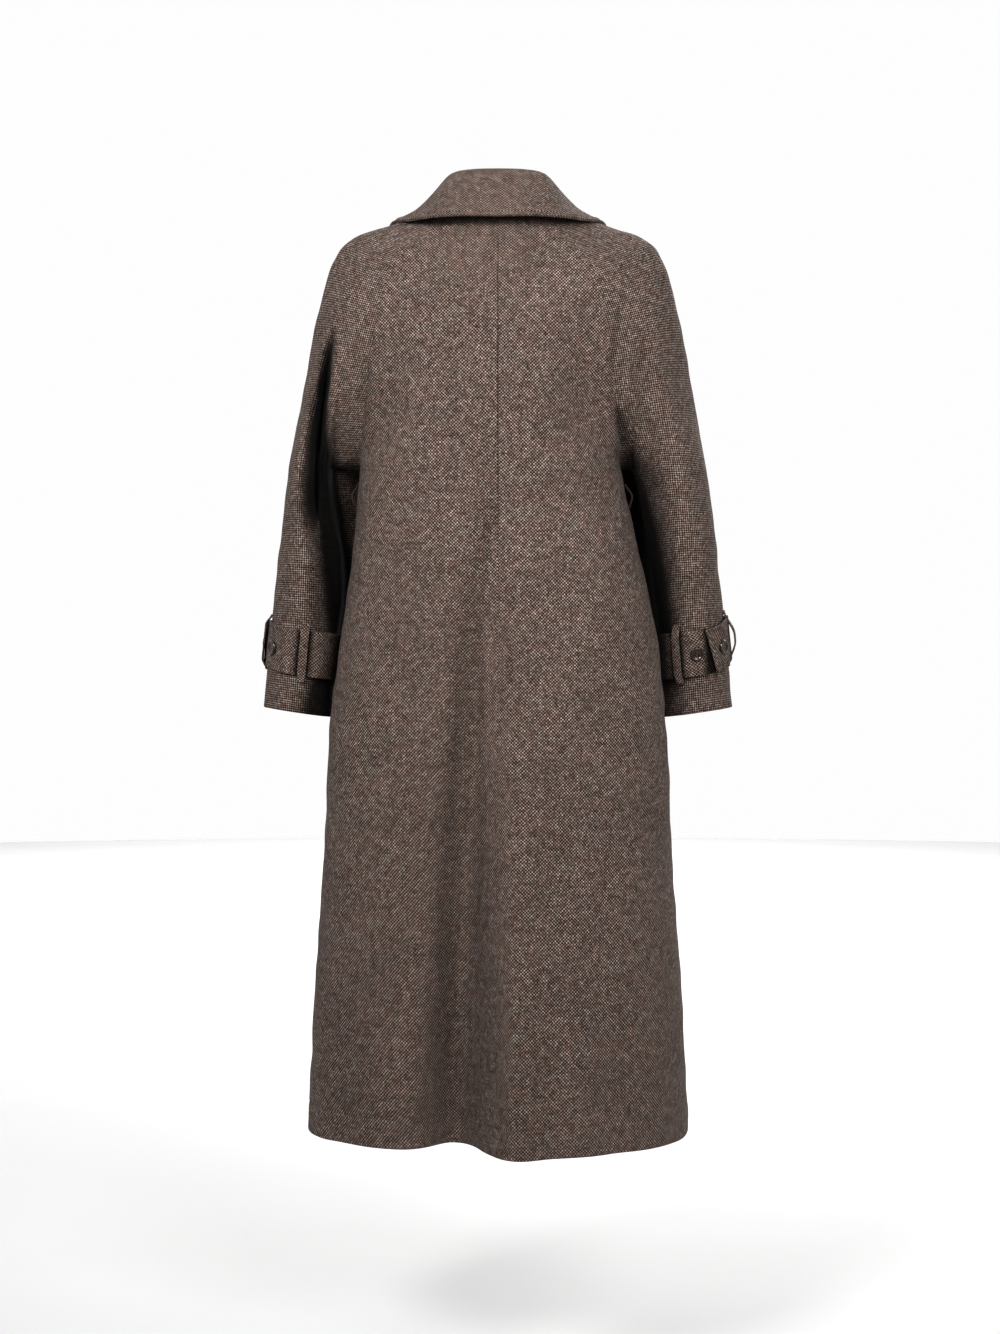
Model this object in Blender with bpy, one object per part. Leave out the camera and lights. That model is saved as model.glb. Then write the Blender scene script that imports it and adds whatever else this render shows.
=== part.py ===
"""Long wool coat with belted cuffs, filled out and hollow, open at neck, hem and cuffs.

The coat hangs from its shoulders. Its back faces +Y, its left side is +X, and z is 0 at the base of the neck.
Each front and back is cut in one with half of its sleeve. The cloth is one smooth surface that is cut into
panels along its seams, and each panel is a wall that is thickened inwards.
"""

import math
from collections import namedtuple

import bmesh
import bpy
import numpy as np
from mathutils import Matrix, Vector
from mathutils.bvhtree import BVHTree

LEFT, RIGHT = 1, -1
BACK, FRONT = 1, -1

# Driving sizes, in metres
MM = 0.001
CLOTH = 0.0024
SEAM_GAP = 0.0004
LAY_GAP = 0.0004
NECK_Z = 0.020
UNDERARM_Z = -0.310
HEM_Z = -1.138
CUFF_Z = -0.612
LAP = 0.030
LAP_RAMP = (0.056, 0.090)
LAP_DEPTH = 0.0038
LAP_FADE = 3
ROUNDNESS = 2.3
NECK_ROUNDNESS = 2.0
PINCH_TOP_Z = -0.060
PINCH_GROWTH = 2.2
PINCH_CLOSE = 0.75
WEB_FOCUS_BODY = 12
WEB_FOCUS_SLEEVE = 6
SEAM_FADE = 28
TUCK_BEHIND = 0.012
TUCK_TURN = math.radians(80)
TUCK_END_Z = -0.505
TUCK_FADE = 0.060
TROUGH_TURN_Z = -0.290
STEP_X = 0.012
STEP_HALF = 0.030
FOLD_DRIFT = 0.7
COLLAR_CLOTH = 0.0040
COLLAR_ROLL = 0.010
COLLAR_FLARE = 0.036
COLLAR_FLARE_RISE = 0.012
COLLAR_LIFT = 0.0024
COLLAR_FRONT = 0.955
COLLAR_SEAM_GAP = 0.0006
STAND_CURVE = 0.5
FALL_CURVE = 0.4
FLARE_PLACE = 0.5
FLARE_SPREAD = 0.2
STRAP_TOP_Z = -0.511
STRAP_HEIGHT = 0.055
STRAP_RISE = 0.008
STRAP_RISE_SPREAD = math.radians(45)
STRAP_CLOTH = 0.0024
STRAP_LIFT = 0.0007
STRAP_OVERLAP = math.radians(62)
STRAP_RAMP = math.radians(24)
STRAP_RAMP_END = 0.8
TAB_SLANT = 0.012
TAB_BUTTON = math.radians(23)
SLEEVE_RADIUS = 0.052
LOOP_WIDTH = 0.011
LOOP_CLOTH = 0.0020
LOOP_HEIGHT = 0.070
LOOP_SEWN_GAP = 0.0008
CUFF_LOOP_RAMP = 0.11
CUFF_BUTTON_R = 0.0088
CUFF_BUTTON_H = 0.0040
FRONT_BUTTON_R = 0.0125
FRONT_BUTTON_H = 0.0048
FRONT_BUTTON_TOP_Z = -0.165
FRONT_BUTTON_STEP = 0.132
FRONT_BUTTONS = 5
WAIST_LOOP_Z = -0.345
WAIST_LOOP_HEIGHT = 0.030
WAIST_LOOP_STAND_OFF = 0.010
WAIST_LOOP_WIDTH = 0.009
WAIST_LOOP_RAMP = 0.22

# Mesh counts
BACK_COLUMNS, FRONT_COLUMNS, WEB_COLUMNS, SLEEVE_COLUMNS = 11, 9, 2, 7
BODY_ROWS, SLEEVE_ROWS = 12, 9
COLLAR_COLUMNS, STAND_ROWS, FALL_ROWS = 32, 4, 6
STRAP_SEGMENTS = 34
LOOP_RISE_ROWS = 5
LOOP_FLAT_PLACES = (0.35, 0.5, 0.65)
BUTTON_SIDES = 14
COLUMN_GATHER = {BACK: 1.3, FRONT: 1.1}
ROW_GATHER = 1.15
UNDERARM_ROWS = (0.009, 0.003)
MERGE = 1e-5
PROBE_TURN = 0.02
PROBE_DROP = 0.004
SHARP = math.radians(50)
BUTTON_SHARP = math.radians(40)

# Sections of shoulders and sleeve tops, in millimetres: overarm line, and the middle of back and front
Shoulder = namedtuple("Shoulder", "z ridge_x ridge_y back_y back_drop front_y front_drop")
SHOULDERS = (
    Shoulder(20, 75, 8, 65, 6, -92, 95),
    Shoulder(11, 96, 7, 75, 18, -101, 102),
    Shoulder(2, 115, 6, 85, 31, -110, 108),
    Shoulder(-7, 138, 4, 94, 43, -118, 112),
    Shoulder(-15, 165, 2, 102, 53, -124, 115),
    Shoulder(-28, 191, 0, 109, 60, -132, 114),
    Shoulder(-50, 207, -2, 115, 60, -139, 106),
    Shoulder(-85, 219, -5, 120, 53, -145, 90),
    Shoulder(-130, 231, -9, 123, 42, -149, 70),
    Shoulder(-175, 240, -13, 125, 32, -151, 52),
    Shoulder(-220, 249, -17, 126, 22, -152, 34),
    Shoulder(-260, 257, -22, 126, 12, -152, 18),
    Shoulder(-290, 262, -26, 126, 5, -152, 7),
    Shoulder(-310, 265, -29, 126, 0, -152, 0),
)

# Sections of the body below the underarm, in millimetres
Body = namedtuple("Body", "z left_x right_x side_y left_back right_back front_y")
BODY = (
    Body(-310, 174, 155, -12, 126, 126, -152),
    Body(-360, 178, 165, -11, 127, 127, -153),
    Body(-430, 185, 181, -10, 129, 131, -155),
    Body(-530, 199, 201, -8, 133, 140, -158),
    Body(-627, 211, 211, -6, 138, 151, -163),
    Body(-780, 218, 218, -3, 147, 169, -173),
    Body(-930, 228, 228, -1, 156, 187, -185),
    Body(-1138, 239, 239, 0, 172, 213, -204),
)

# Sections of a sleeve below the underarm, in millimetres
Sleeve = namedtuple("Sleeve", "z outer_x outer_y left_inner right_inner inner_y back front inner_drop")
SLEEVE = (
    Sleeve(-310, 265, -29, 211, 172, -14, 74, 84, 0),
    Sleeve(-350, 271, -34, 208, 180, -20, 73, 80, 2),
    Sleeve(-420, 280, -43, 197, 192, -31, 70, 74, 5),
    Sleeve(-500, 289, -54, 202, 204, -44, 65, 68, 8),
    Sleeve(-560, 296, -62, 208, 209, -54, 61, 64, 11),
    Sleeve(-612, 302, -69, 212, 212, -61, 59, 61, 13),
)

# Skirt folds, in millimetres: a trough where depth is positive, a ridge where it is negative
Fold = namedtuple("Fold", "top_z top_x hem_x width depth")
BACK_FOLDS = (
    Fold(-340, 6, 52, 36, 58),
    Fold(-420, -14, -27, 26, -13),
    Fold(-520, -112, -146, 26, 8),
    Fold(-600, 150, 190, 24, 7),
)
FRONT_FOLDS = (
    Fold(-430, 96, 122, 30, 15),
    Fold(-520, 150, 178, 26, -8),
    Fold(-460, -84, -104, 28, 13),
    Fold(-560, -142, -168, 26, -9),
)

# The long trough down the back of each sleeve: its angles in degrees, its heights and depth in millimetres
SleeveFold = namedtuple("SleeveFold", "top_angle bottom_angle spread top_z mid_z bottom_z depth")
SLEEVE_FOLDS = {
    LEFT: SleeveFold(76, 20, 20, -100, -330, -570, 36),
    RIGHT: SleeveFold(48, 48, 24, -120, -350, -560, 17),
}

# The collar from the centre back to its front point: where it folds and where its edge lies, in millimetres
CollarSection = namedtuple("CollarSection", "place fold_x fold_y fold_z edge_x edge_y edge_z")
COLLAR = (
    CollarSection(0.00, 0, 50, 55, 0, 99, -11),
    CollarSection(0.18, 33, 45, 55, 56, 94, -10),
    CollarSection(0.36, 56, 26, 54, 103, 64, -9),
    CollarSection(0.50, 62, 4, 48, 132, 10, -6),
    CollarSection(0.66, 58, -30, 30, 138, -55, -34),
    CollarSection(0.83, 46, -76, -12, 124, -115, -92),
    CollarSection(1.00, 16, -108, -59, 82, -145, -152),
)

# Cuff trim: angles round the sleeve in degrees, from its inside over its back to its outside
Cuff = namedtuple("Cuff", "tab_end spare_button loops")
CUFFS = {
    LEFT: Cuff(173, 137, (84, 177, 282)),
    RIGHT: Cuff(108, 88, (58, 168, 278)),
}
SIDE_NAMES = {LEFT: "left", RIGHT: "right"}


def section_at(table, column, height):
    """A column of a section table, in metres, on a smooth curve through its rows."""
    rows = sorted(table)
    places = np.array([row[0] for row in rows], float)
    values = np.array([getattr(row, column) for row in rows], float)
    return smooth_curve(places * MM, values * MM, height)


def smooth_curve(places, values, wanted):
    """A smooth curve through values at rising places, read at the wanted places."""
    slopes = np.gradient(values, places)
    k = np.clip(np.searchsorted(places, wanted) - 1, 0, len(places) - 2)
    span = places[k + 1] - places[k]
    t = np.clip((wanted - places[k]) / span, 0, 1)
    start = (1 + 2 * t) * (1 - t) ** 2 * values[k] + t * (1 - t) ** 2 * span * slopes[k]
    end = t**2 * (3 - 2 * t) * values[k + 1] + t**2 * (t - 1) * span * slopes[k + 1]
    return start + end


def smooth_step(t):
    t = np.clip(t, 0, 1)
    return t * t * (3 - 2 * t)


def crown(fraction, roundness):
    """How much of its depth a ring keeps at a fraction of its half width."""
    return np.clip(1 - np.abs(fraction) ** roundness, 0, 1) ** (1 / roundness)


def skirt_folds(folds, x, z):
    """How far the folds push the cloth inwards at x on a row of height z."""
    inwards = np.zeros(np.broadcast(x, z).shape)
    for fold in folds:
        grown = np.clip((fold.top_z * MM - z) / (fold.top_z * MM - HEM_Z), 0, 1)
        middle = (fold.top_x + (fold.hem_x - fold.top_x) * grown**FOLD_DRIFT) * MM
        inwards += fold.depth * MM * grown * np.exp(-(((x - middle) / (fold.width * MM)) ** 2))
    return inwards


def sleeve_fold(side, face, angle, z):
    """How far the sleeve's long trough pushes its back inwards."""
    if face == FRONT:
        return 0.0
    fold = SLEEVE_FOLDS[side]
    falling = (fold.top_z * MM - z) / ((fold.top_z - fold.mid_z) * MM)
    rising = (z - fold.bottom_z * MM) / ((fold.mid_z - fold.bottom_z) * MM)
    along = smooth_step(np.minimum(falling, rising))
    lower = np.clip((TROUGH_TURN_Z - z) / (TROUGH_TURN_Z - fold.bottom_z * MM), 0, 1)
    middle = fold.top_angle + (fold.bottom_angle - fold.top_angle) * lower**2
    turn = np.degrees(angle)
    across = np.exp(-(((turn - middle) / fold.spread) ** 2)) * smooth_step(turn / SEAM_FADE)
    return fold.depth * MM * along * across


def sleeve_tuck(side, face, z, angle):
    """How far the front of a sleeve reaches in behind the body, most at half of the tuck's turn."""
    if face == BACK:
        return 0.0
    gap = section_at(SLEEVE, SIDE_NAMES[side] + "_inner", z) - section_at(BODY, SIDE_NAMES[side] + "_x", z)
    turned = np.clip(angle / TUCK_TURN, 0, 1)
    above_strap = smooth_step((z - TUCK_END_Z) / TUCK_FADE)
    return (gap + TUCK_BEHIND) * above_strap * np.sin(math.pi * turned) ** 2


def lap_inset(side, face, x, half):
    """The left front passes under the right front, so it lies deeper near the centre."""
    if face == BACK or side == RIGHT:
        return 0.0
    near, far = LAP_RAMP
    return LAP_DEPTH * smooth_step((far - x) / (far - near)) * smooth_step(LAP_FADE * (1 - x / half))


def body_angles(face):
    """Angles of a panel's columns from the centre, 0, to the side seam, 90 degrees."""
    count = BACK_COLUMNS if face == BACK else FRONT_COLUMNS
    return math.pi / 2 * np.linspace(0, 1, count + 1) ** COLUMN_GATHER[face]


def body_x(side, face, angle, half):
    """Where the columns lie across the body: a front reaches past the centre by the lap."""
    reach = LAP * (1 - angle / (math.pi / 2)) ** 2 if face == FRONT else 0.0
    return side * (half * np.sin(angle) - reach)


def body_ring(side, face, z, angle):
    """Points of a quarter of the body at heights z, from the centre to the side seam."""
    half = section_at(BODY, SIDE_NAMES[side] + "_x", z)
    side_y = section_at(BODY, "side_y", z)
    x = body_x(side, face, angle, half)
    if face == BACK:
        left = section_at(BODY, "left_back", z)
        right = section_at(BODY, "right_back", z)
        middle = left + (right - left) * smooth_step((STEP_X + STEP_HALF - x) / (2 * STEP_HALF))
        folds = skirt_folds(BACK_FOLDS, x, z)
    else:
        middle = section_at(BODY, "front_y", z)
        folds = skirt_folds(FRONT_FOLDS, x, z)
    seam_fade = smooth_step((90 - np.degrees(angle)) / SEAM_FADE)
    inwards = folds * seam_fade + lap_inset(side, face, side * x, half)
    y = side_y + (middle - side_y) * crown(x / half, ROUNDNESS) - face * inwards
    return np.stack(np.broadcast_arrays(x, y, z), axis=-1)


def sleeve_ring(side, face, z, angle):
    """Points of half a sleeve at heights z, from its inside, 0, to its outside, 180 degrees."""
    outer, inner = section_at(SLEEVE, "outer_x", z), section_at(SLEEVE, SIDE_NAMES[side] + "_inner", z)
    outer_y, inner_y = section_at(SLEEVE, "outer_y", z), section_at(SLEEVE, "inner_y", z)
    depth = section_at(SLEEVE, "back" if face == BACK else "front", z)
    across = (1 - np.cos(angle)) / 2
    x = side * (inner + (outer - inner) * across - sleeve_tuck(side, face, z, angle))
    y = inner_y + (outer_y - inner_y) * across + face * depth * np.sin(angle)
    y = y - face * sleeve_fold(side, face, angle, z)
    height = z - section_at(SLEEVE, "inner_drop", z) * (1 - across)
    return np.stack(np.broadcast_arrays(x, y, height), axis=-1)


def shoulder_rows(side, face, z):
    """Points of a panel above the underarm: rows from the neck edge down, columns out to the overarm line.

    The rows change from one round of chest and arms into the separate rounds of body and sleeve.
    """
    body = body_angles(face)
    sleeve = np.linspace(0, math.pi, SLEEVE_COLUMNS + 1)
    under = np.array([[UNDERARM_Z]])
    body_end = body_ring(side, face, under, body[None])[0]
    sleeve_end = sleeve_ring(side, face, under, sleeve[None])[0]
    sleeve_end[:, 1] += face * sleeve_fold(side, face, sleeve, UNDERARM_Z)
    tuck = side * sleeve_tuck(side, face, UNDERARM_Z, sleeve)
    sleeve_end[:, 0] += tuck
    web = np.linspace(0, 1, WEB_COLUMNS + 1)[1:-1, None]
    web_end = body_end[-1] + (sleeve_end[0] - body_end[-1]) * web
    end = np.concatenate([body_end, web_end, sleeve_end])
    ridge_x, ridge_y = section_at(SHOULDERS, "ridge_x", z), section_at(SHOULDERS, "ridge_y", z)
    name = "back" if face == BACK else "front"
    middle, drop = section_at(SHOULDERS, name + "_y", z), section_at(SHOULDERS, name + "_drop", z)
    reach = np.zeros(len(end))
    if face == FRONT:
        reach[: len(body)] = LAP * (1 - body / (math.pi / 2)) ** 2
    fraction = (side * end[:, 0] + reach) / section_at(SLEEVE, "outer_x", UNDERARM_Z)
    x = side * (ridge_x * fraction - reach)
    down = (NECK_Z - z) / (NECK_Z - UNDERARM_Z)
    roundness = NECK_ROUNDNESS + (ROUNDNESS - NECK_ROUNDNESS) * down
    whole = ridge_y + (middle - ridge_y) * crown(x / ridge_x, roundness)
    whole = whole - face * lap_inset(side, face, side * x, ridge_x)
    sunk = np.clip((PINCH_TOP_Z - z) / (PINCH_TOP_Z - UNDERARM_Z), 0, 1)
    pinched = 1 - (1 - sunk**PINCH_GROWTH) ** PINCH_CLOSE
    near_web = np.concatenate(
        [np.sin(body) ** WEB_FOCUS_BODY, np.ones(len(web)), np.cos(sleeve / 2) ** WEB_FOCUS_SLEEVE]
    )
    split = smooth_step(sunk) + (pinched - smooth_step(sunk)) * near_web
    y = whole + (end[:, 1] - whole) * split
    angle = np.concatenate([np.full(len(end) - len(sleeve), -math.pi), sleeve])
    y = y - face * sleeve_fold(side, face, angle, z)
    height = z - drop * (1 - (x / ridge_x) ** 2)
    x[:, -len(sleeve) :] -= tuck * split[:, -len(sleeve) :]
    return np.stack(np.broadcast_arrays(x, y, height), axis=-1)


def row_heights():
    """Heights of the rows: shoulder, body and sleeve. They draw together at the underarm."""
    near_underarm = [UNDERARM_Z + height for height in UNDERARM_ROWS]
    shoulder = np.array([row.z * MM for row in SHOULDERS[:-1]] + near_underarm + [UNDERARM_Z])
    body = UNDERARM_Z + (HEM_Z - UNDERARM_Z) * np.linspace(0, 1, BODY_ROWS + 1) ** ROW_GATHER
    sleeve = UNDERARM_Z + (CUFF_Z - UNDERARM_Z) * np.linspace(0, 1, SLEEVE_ROWS + 1) ** ROW_GATHER
    return shoulder[:, None], body[:, None], sleeve[:, None]


def add_grid(bm, points, panel, flipped):
    """Faces through a grid of points, marked with their panel."""
    rows, columns = points.shape[:2]
    verts = [[bm.verts.new(point) for point in row] for row in points]
    for i in range(rows - 1):
        for j in range(columns - 1):
            corners = [verts[i][j], verts[i][j + 1], verts[i + 1][j + 1], verts[i + 1][j]]
            face = bm.faces.new(corners[::-1] if flipped else corners)
            face.material_index = panel


def coat_surface(panels):
    """The whole outer surface, with the panels joined at their seams."""
    bm = bmesh.new()
    shoulder_z, body_z, sleeve_z = row_heights()
    for index, (side, face) in enumerate(panels.values()):
        flipped = side * face < 0
        add_grid(bm, shoulder_rows(side, face, shoulder_z), index, flipped)
        add_grid(bm, body_ring(side, face, body_z, body_angles(face)[None]), index, flipped)
        angles = np.linspace(0, math.pi, SLEEVE_COLUMNS + 1)
        add_grid(bm, sleeve_ring(side, face, sleeve_z, angles[None]), index, flipped)
    bmesh.ops.remove_doubles(bm, verts=bm.verts, dist=MERGE)
    bm.normal_update()
    return bm


def seam_inset(vert, panel):
    """How a panel's point on a seam draws back from it, square to the seam."""
    seams = [e for e in vert.link_edges if len({f.material_index for f in e.link_faces}) > 1]
    if not seams:
        return Vector()
    ends = [e.other_vert(vert).co for e in seams]
    along = (ends[0] - (ends[1] if len(ends) > 1 else vert.co)).normalized()
    own = [f.calc_center_median() for f in vert.link_faces if f.material_index == panel]
    inward = sum(own, Vector()) / len(own) - vert.co
    inward -= along * inward.dot(along)
    inward -= vert.normal * inward.dot(vert.normal)
    return inward.normalized() * (SEAM_GAP / 2)


def wall(points, faces, normals, above, below):
    """A closed mesh: a surface moved out by above and in by below, with its rim walled."""
    bm = bmesh.new()
    tops = [bm.verts.new(p + n * a) for p, n, a in zip(points, normals, above)]
    lows = [bm.verts.new(p - n * b) for p, n, b in zip(points, normals, below)]
    for face in faces:
        bm.faces.new([tops[i] for i in face])
        bm.faces.new([lows[i] for i in reversed(face)])
    sides = {(a, b) for face in faces for a, b in zip(face, face[1:] + face[:1])}
    for a, b in sorted(sides):
        if (b, a) not in sides:
            bm.faces.new([tops[b], tops[a], lows[a], lows[b]])
    return bm


def grid_faces(rows, columns):
    """Corners of the faces of a grid of points that are numbered row by row."""
    return [
        [i * columns + j, i * columns + j + 1, (i + 1) * columns + j + 1, (i + 1) * columns + j]
        for i in range(rows - 1)
        for j in range(columns - 1)
    ]


def grid_wall(points, above, below):
    """A closed wall on a grid of points, thickened along the grid's own normals."""
    rows, columns = points.shape[:2]
    flat = [Vector(p) for p in points.reshape(-1, 3)]
    faces = grid_faces(rows, columns)
    surface = bmesh.new()
    verts = [surface.verts.new(p) for p in flat]
    for face in faces:
        surface.faces.new([verts[i] for i in face])
    surface.normal_update()
    normals = [v.normal.copy() for v in verts]
    surface.free()
    above, below = np.broadcast_to(above, (rows, columns)), np.broadcast_to(below, (rows, columns))
    return wall(flat, faces, normals, above.ravel(), below.ravel())


def finished(name, bm, material, parent):
    """A named object made from a mesh, in its material."""
    mesh = bpy.data.meshes.new(name)
    bm.to_mesh(mesh)
    bm.free()
    mesh.shade_smooth()
    mesh.set_sharp_from_angle(angle=SHARP)
    mesh.materials.append(material)
    return placed(name, mesh, parent)


def placed(name, mesh, parent, matrix=None):
    obj = bpy.data.objects.new(name, mesh)
    bpy.context.scene.collection.objects.link(obj)
    obj.parent = parent
    obj.matrix_local = matrix or Matrix()
    return obj


def panel_wall(surface, panel):
    """One panel as a wall: its outside on the coat's surface, drawn back from its seams."""
    faces = [f for f in surface.faces if f.material_index == panel]
    verts = sorted({v for f in faces for v in f.verts}, key=lambda v: v.index)
    number = {v: i for i, v in enumerate(verts)}
    points = [v.co + seam_inset(v, panel) for v in verts]
    normals = [v.normal.copy() for v in verts]
    corners = [[number[v] for v in f.verts] for f in faces]
    return wall(points, corners, normals, [0.0] * len(verts), [CLOTH] * len(verts))


def neck_edge(place):
    """The left half of the neck edge: place 0 is the centre back, 0.5 the shoulder, 1 the front."""
    ridge = SHOULDERS[0]
    back = place <= 0.5
    angle = np.where(back, place, 1 - place) * math.pi
    middle = np.where(back, ridge.back_y, ridge.front_y)
    drop = np.where(back, ridge.back_drop, ridge.front_drop)
    x = ridge.ridge_x * np.sin(angle)
    y = ridge.ridge_y + (middle - ridge.ridge_y) * crown(np.sin(angle), NECK_ROUNDNESS)
    return np.stack([x, y, ridge.z - drop * np.cos(angle) ** 2], axis=-1) * MM


def bend(a, b, c, d, t):
    """Points along the curve that leaves a towards b and reaches d from c."""
    t = t[:, None, None]
    return (1 - t) ** 3 * a + 3 * t * (1 - t) ** 2 * b + 3 * t**2 * (1 - t) * c + t**3 * d


def collar_grid():
    """The collar's middle surface: rows from neck seam over the fold to the edge, columns round the neck."""
    place = np.linspace(-1, 1, COLLAR_COLUMNS + 1)
    mirror = np.where(place < 0, -1, 1)[:, None] * np.array([1, 0, 0]) + np.array([0, 1, 1])
    columns = {
        name: smooth_curve(
            np.array([row.place for row in COLLAR]),
            np.array([getattr(row, name) for row in COLLAR]) * MM,
            np.abs(place),
        )
        for name in CollarSection._fields[1:]
    }
    seam = neck_edge(np.abs(place) * COLLAR_FRONT)
    fold = np.stack([columns["fold_x"], columns["fold_y"], columns["fold_z"]], axis=-1)
    edge = np.stack([columns["edge_x"], columns["edge_y"], columns["edge_z"]], axis=-1)
    seam, fold, edge = seam * mirror, fold * mirror, edge * mirror
    rise = fold - seam
    seam = seam + rise / np.linalg.norm(rise, axis=1)[:, None] * COLLAR_SEAM_GAP
    outward = edge - seam
    outward[:, 2] = 0
    outward *= COLLAR_ROLL / np.linalg.norm(outward, axis=1)[:, None]
    stand = bend(seam, seam + rise * STAND_CURVE, fold - outward, fold, np.linspace(0, 1, STAND_ROWS + 1))
    flare = np.exp(-(((np.abs(place) - FLARE_PLACE) / FLARE_SPREAD) ** 2))[:, None]
    on_shoulder = np.array([0, 0, COLLAR_FLARE_RISE]) - outward * (COLLAR_FLARE / COLLAR_ROLL)
    back_from_edge = (fold - edge) * FALL_CURVE * (1 - flare) + on_shoulder * flare
    fall = bend(fold, fold + outward, edge + back_from_edge, edge, np.linspace(0, 1, FALL_ROWS + 1))
    return np.concatenate([stand, fall[1:]])


def lifted_clear(points, surface, clearance):
    """The points, with those that come too near the cloth moved out from it."""
    tree = BVHTree.FromBMesh(surface)
    clear = points.copy()
    for index in np.ndindex(points.shape[:2]):
        point = Vector(points[index])
        near, normal, _, _ = tree.find_nearest(point)
        height = (point - near).dot(normal)
        if height < clearance and (point - near).length < 3 * clearance + abs(height):
            clear[index] = point + normal * (clearance - height)
    return clear


def collar_wall(surface):
    """The collar, folded down and resting just off the shoulders."""
    points = collar_grid()
    fall = slice(STAND_ROWS + 2, None)
    points[fall] = lifted_clear(points[fall], surface, COLLAR_CLOTH / 2 + COLLAR_LIFT)
    return grid_wall(points[:, ::-1], COLLAR_CLOTH / 2, COLLAR_CLOTH / 2)


def round_sleeve(side, z, angle):
    """A point of a sleeve at any angle: 0 inside, 90 back, 180 outside, 270 front."""
    turn = np.mod(angle, 2 * math.pi)
    front = np.minimum(2 * math.pi - turn, math.pi)
    back = np.minimum(turn, math.pi)
    on_back = sleeve_ring(side, BACK, z, back)
    on_front = sleeve_ring(side, FRONT, z, front)
    return np.where((turn <= math.pi)[..., None], on_back, on_front)


def sleeve_frame(side, z, angle):
    """A point of a sleeve's surface and its outward normal."""
    ahead = round_sleeve(side, z, angle + PROBE_TURN)
    behind = round_sleeve(side, z, angle - PROBE_TURN)
    below = round_sleeve(side, z - PROBE_DROP, angle)
    above = round_sleeve(side, z + PROBE_DROP, angle)
    normal = np.cross(ahead - behind, below - above) * side
    return round_sleeve(side, z, angle), normal / np.linalg.norm(normal, axis=-1, keepdims=True)


def trim_z(down, angle):
    """Height of a place on a cuff strap: down is 0 at its top edge and 1 at its lower edge."""
    off_outside = np.mod(angle, 2 * math.pi) - math.pi
    rise = STRAP_RISE * np.exp(-((off_outside / STRAP_RISE_SPREAD) ** 2))
    return STRAP_TOP_Z + rise - STRAP_HEIGHT * down


def strap_wall(side):
    """A cuff strap: one turn of the sleeve from under the tab, inside first, then the tab over its start."""
    start = math.radians(CUFFS[side].tab_end) + STRAP_OVERLAP
    run = np.linspace(0, 2 * math.pi + STRAP_OVERLAP, STRAP_SEGMENTS + 1)[None]
    down = np.linspace(0, 1, 3)[:, None]
    slant = (run == run.max()) * TAB_SLANT * (down - 0.5)
    angle = start - run + slant / SLEEVE_RADIUS
    point, normal = sleeve_frame(side, trim_z(down, angle), angle)
    climb = (run - 2 * math.pi + STRAP_RAMP) / (STRAP_RAMP * STRAP_RAMP_END)
    raised = (STRAP_CLOTH + LAY_GAP) * smooth_step(climb)
    base = point + normal * (STRAP_LIFT + raised)[..., None]
    if side == LEFT:
        base = base[:, ::-1]
    return grid_wall(base, STRAP_CLOTH, 0.0)


def arch(ramp, foot, height):
    """Places along a loop and how far it stands off there: sewn at its ends, clear between its ramps."""
    rise = np.linspace(0, ramp, LOOP_RISE_ROWS)
    places = np.concatenate([rise, LOOP_FLAT_PLACES, 1 - rise[::-1]])
    up = smooth_step(places / ramp) * smooth_step((1 - places) / ramp)
    return places, foot + (height - foot) * up


def sewn_down(points, surface):
    """The points, with the first and last rows laid just off the cloth."""
    tree = BVHTree.FromBMesh(surface)
    for row in (0, -1):
        for column, point in enumerate(points[row]):
            near, normal, _, _ = tree.find_nearest(Vector(point))
            points[row, column] = near + normal * LOOP_SEWN_GAP
    return points


def cuff_loop_wall(side, angle, surface):
    """A loop sewn to the sleeve above and below the strap, passing over it."""
    over = STRAP_LIFT + 2 * (STRAP_CLOTH + LAY_GAP) + LAY_GAP
    places, out = arch(CUFF_LOOP_RAMP, LAY_GAP, over)
    down = 0.5 + LOOP_HEIGHT / STRAP_HEIGHT * (places[:, None] - 0.5)
    half_turn = LOOP_WIDTH / 2 / SLEEVE_RADIUS
    angles = math.radians(angle) + half_turn * np.array([[-1, 0, 1]])
    point, normal = sleeve_frame(side, trim_z(down, angles), angles + 0 * down)
    base = sewn_down(point + normal * out[:, None, None], surface)
    if side == RIGHT:
        base = base[:, ::-1]
    return grid_wall(base, LOOP_CLOTH, 0.0)


def waist_loop_wall(side):
    """A belt loop on the side seam, standing off the body."""
    places, out = arch(WAIST_LOOP_RAMP, 2 * LAY_GAP, WAIST_LOOP_STAND_OFF)
    z = WAIST_LOOP_Z + WAIST_LOOP_HEIGHT * (0.5 - places)
    seam = body_ring(side, BACK, z[:, None], np.array([[math.pi / 2]]))[:, 0]
    across = np.array([1, 0, -1]) * side * WAIST_LOOP_WIDTH / 2
    base = np.repeat(seam[:, None], 3, axis=1)
    base[..., 0] += side * out[:, None]
    base[..., 1] += across[None]
    return grid_wall(base, LOOP_CLOTH, 0.0)


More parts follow.
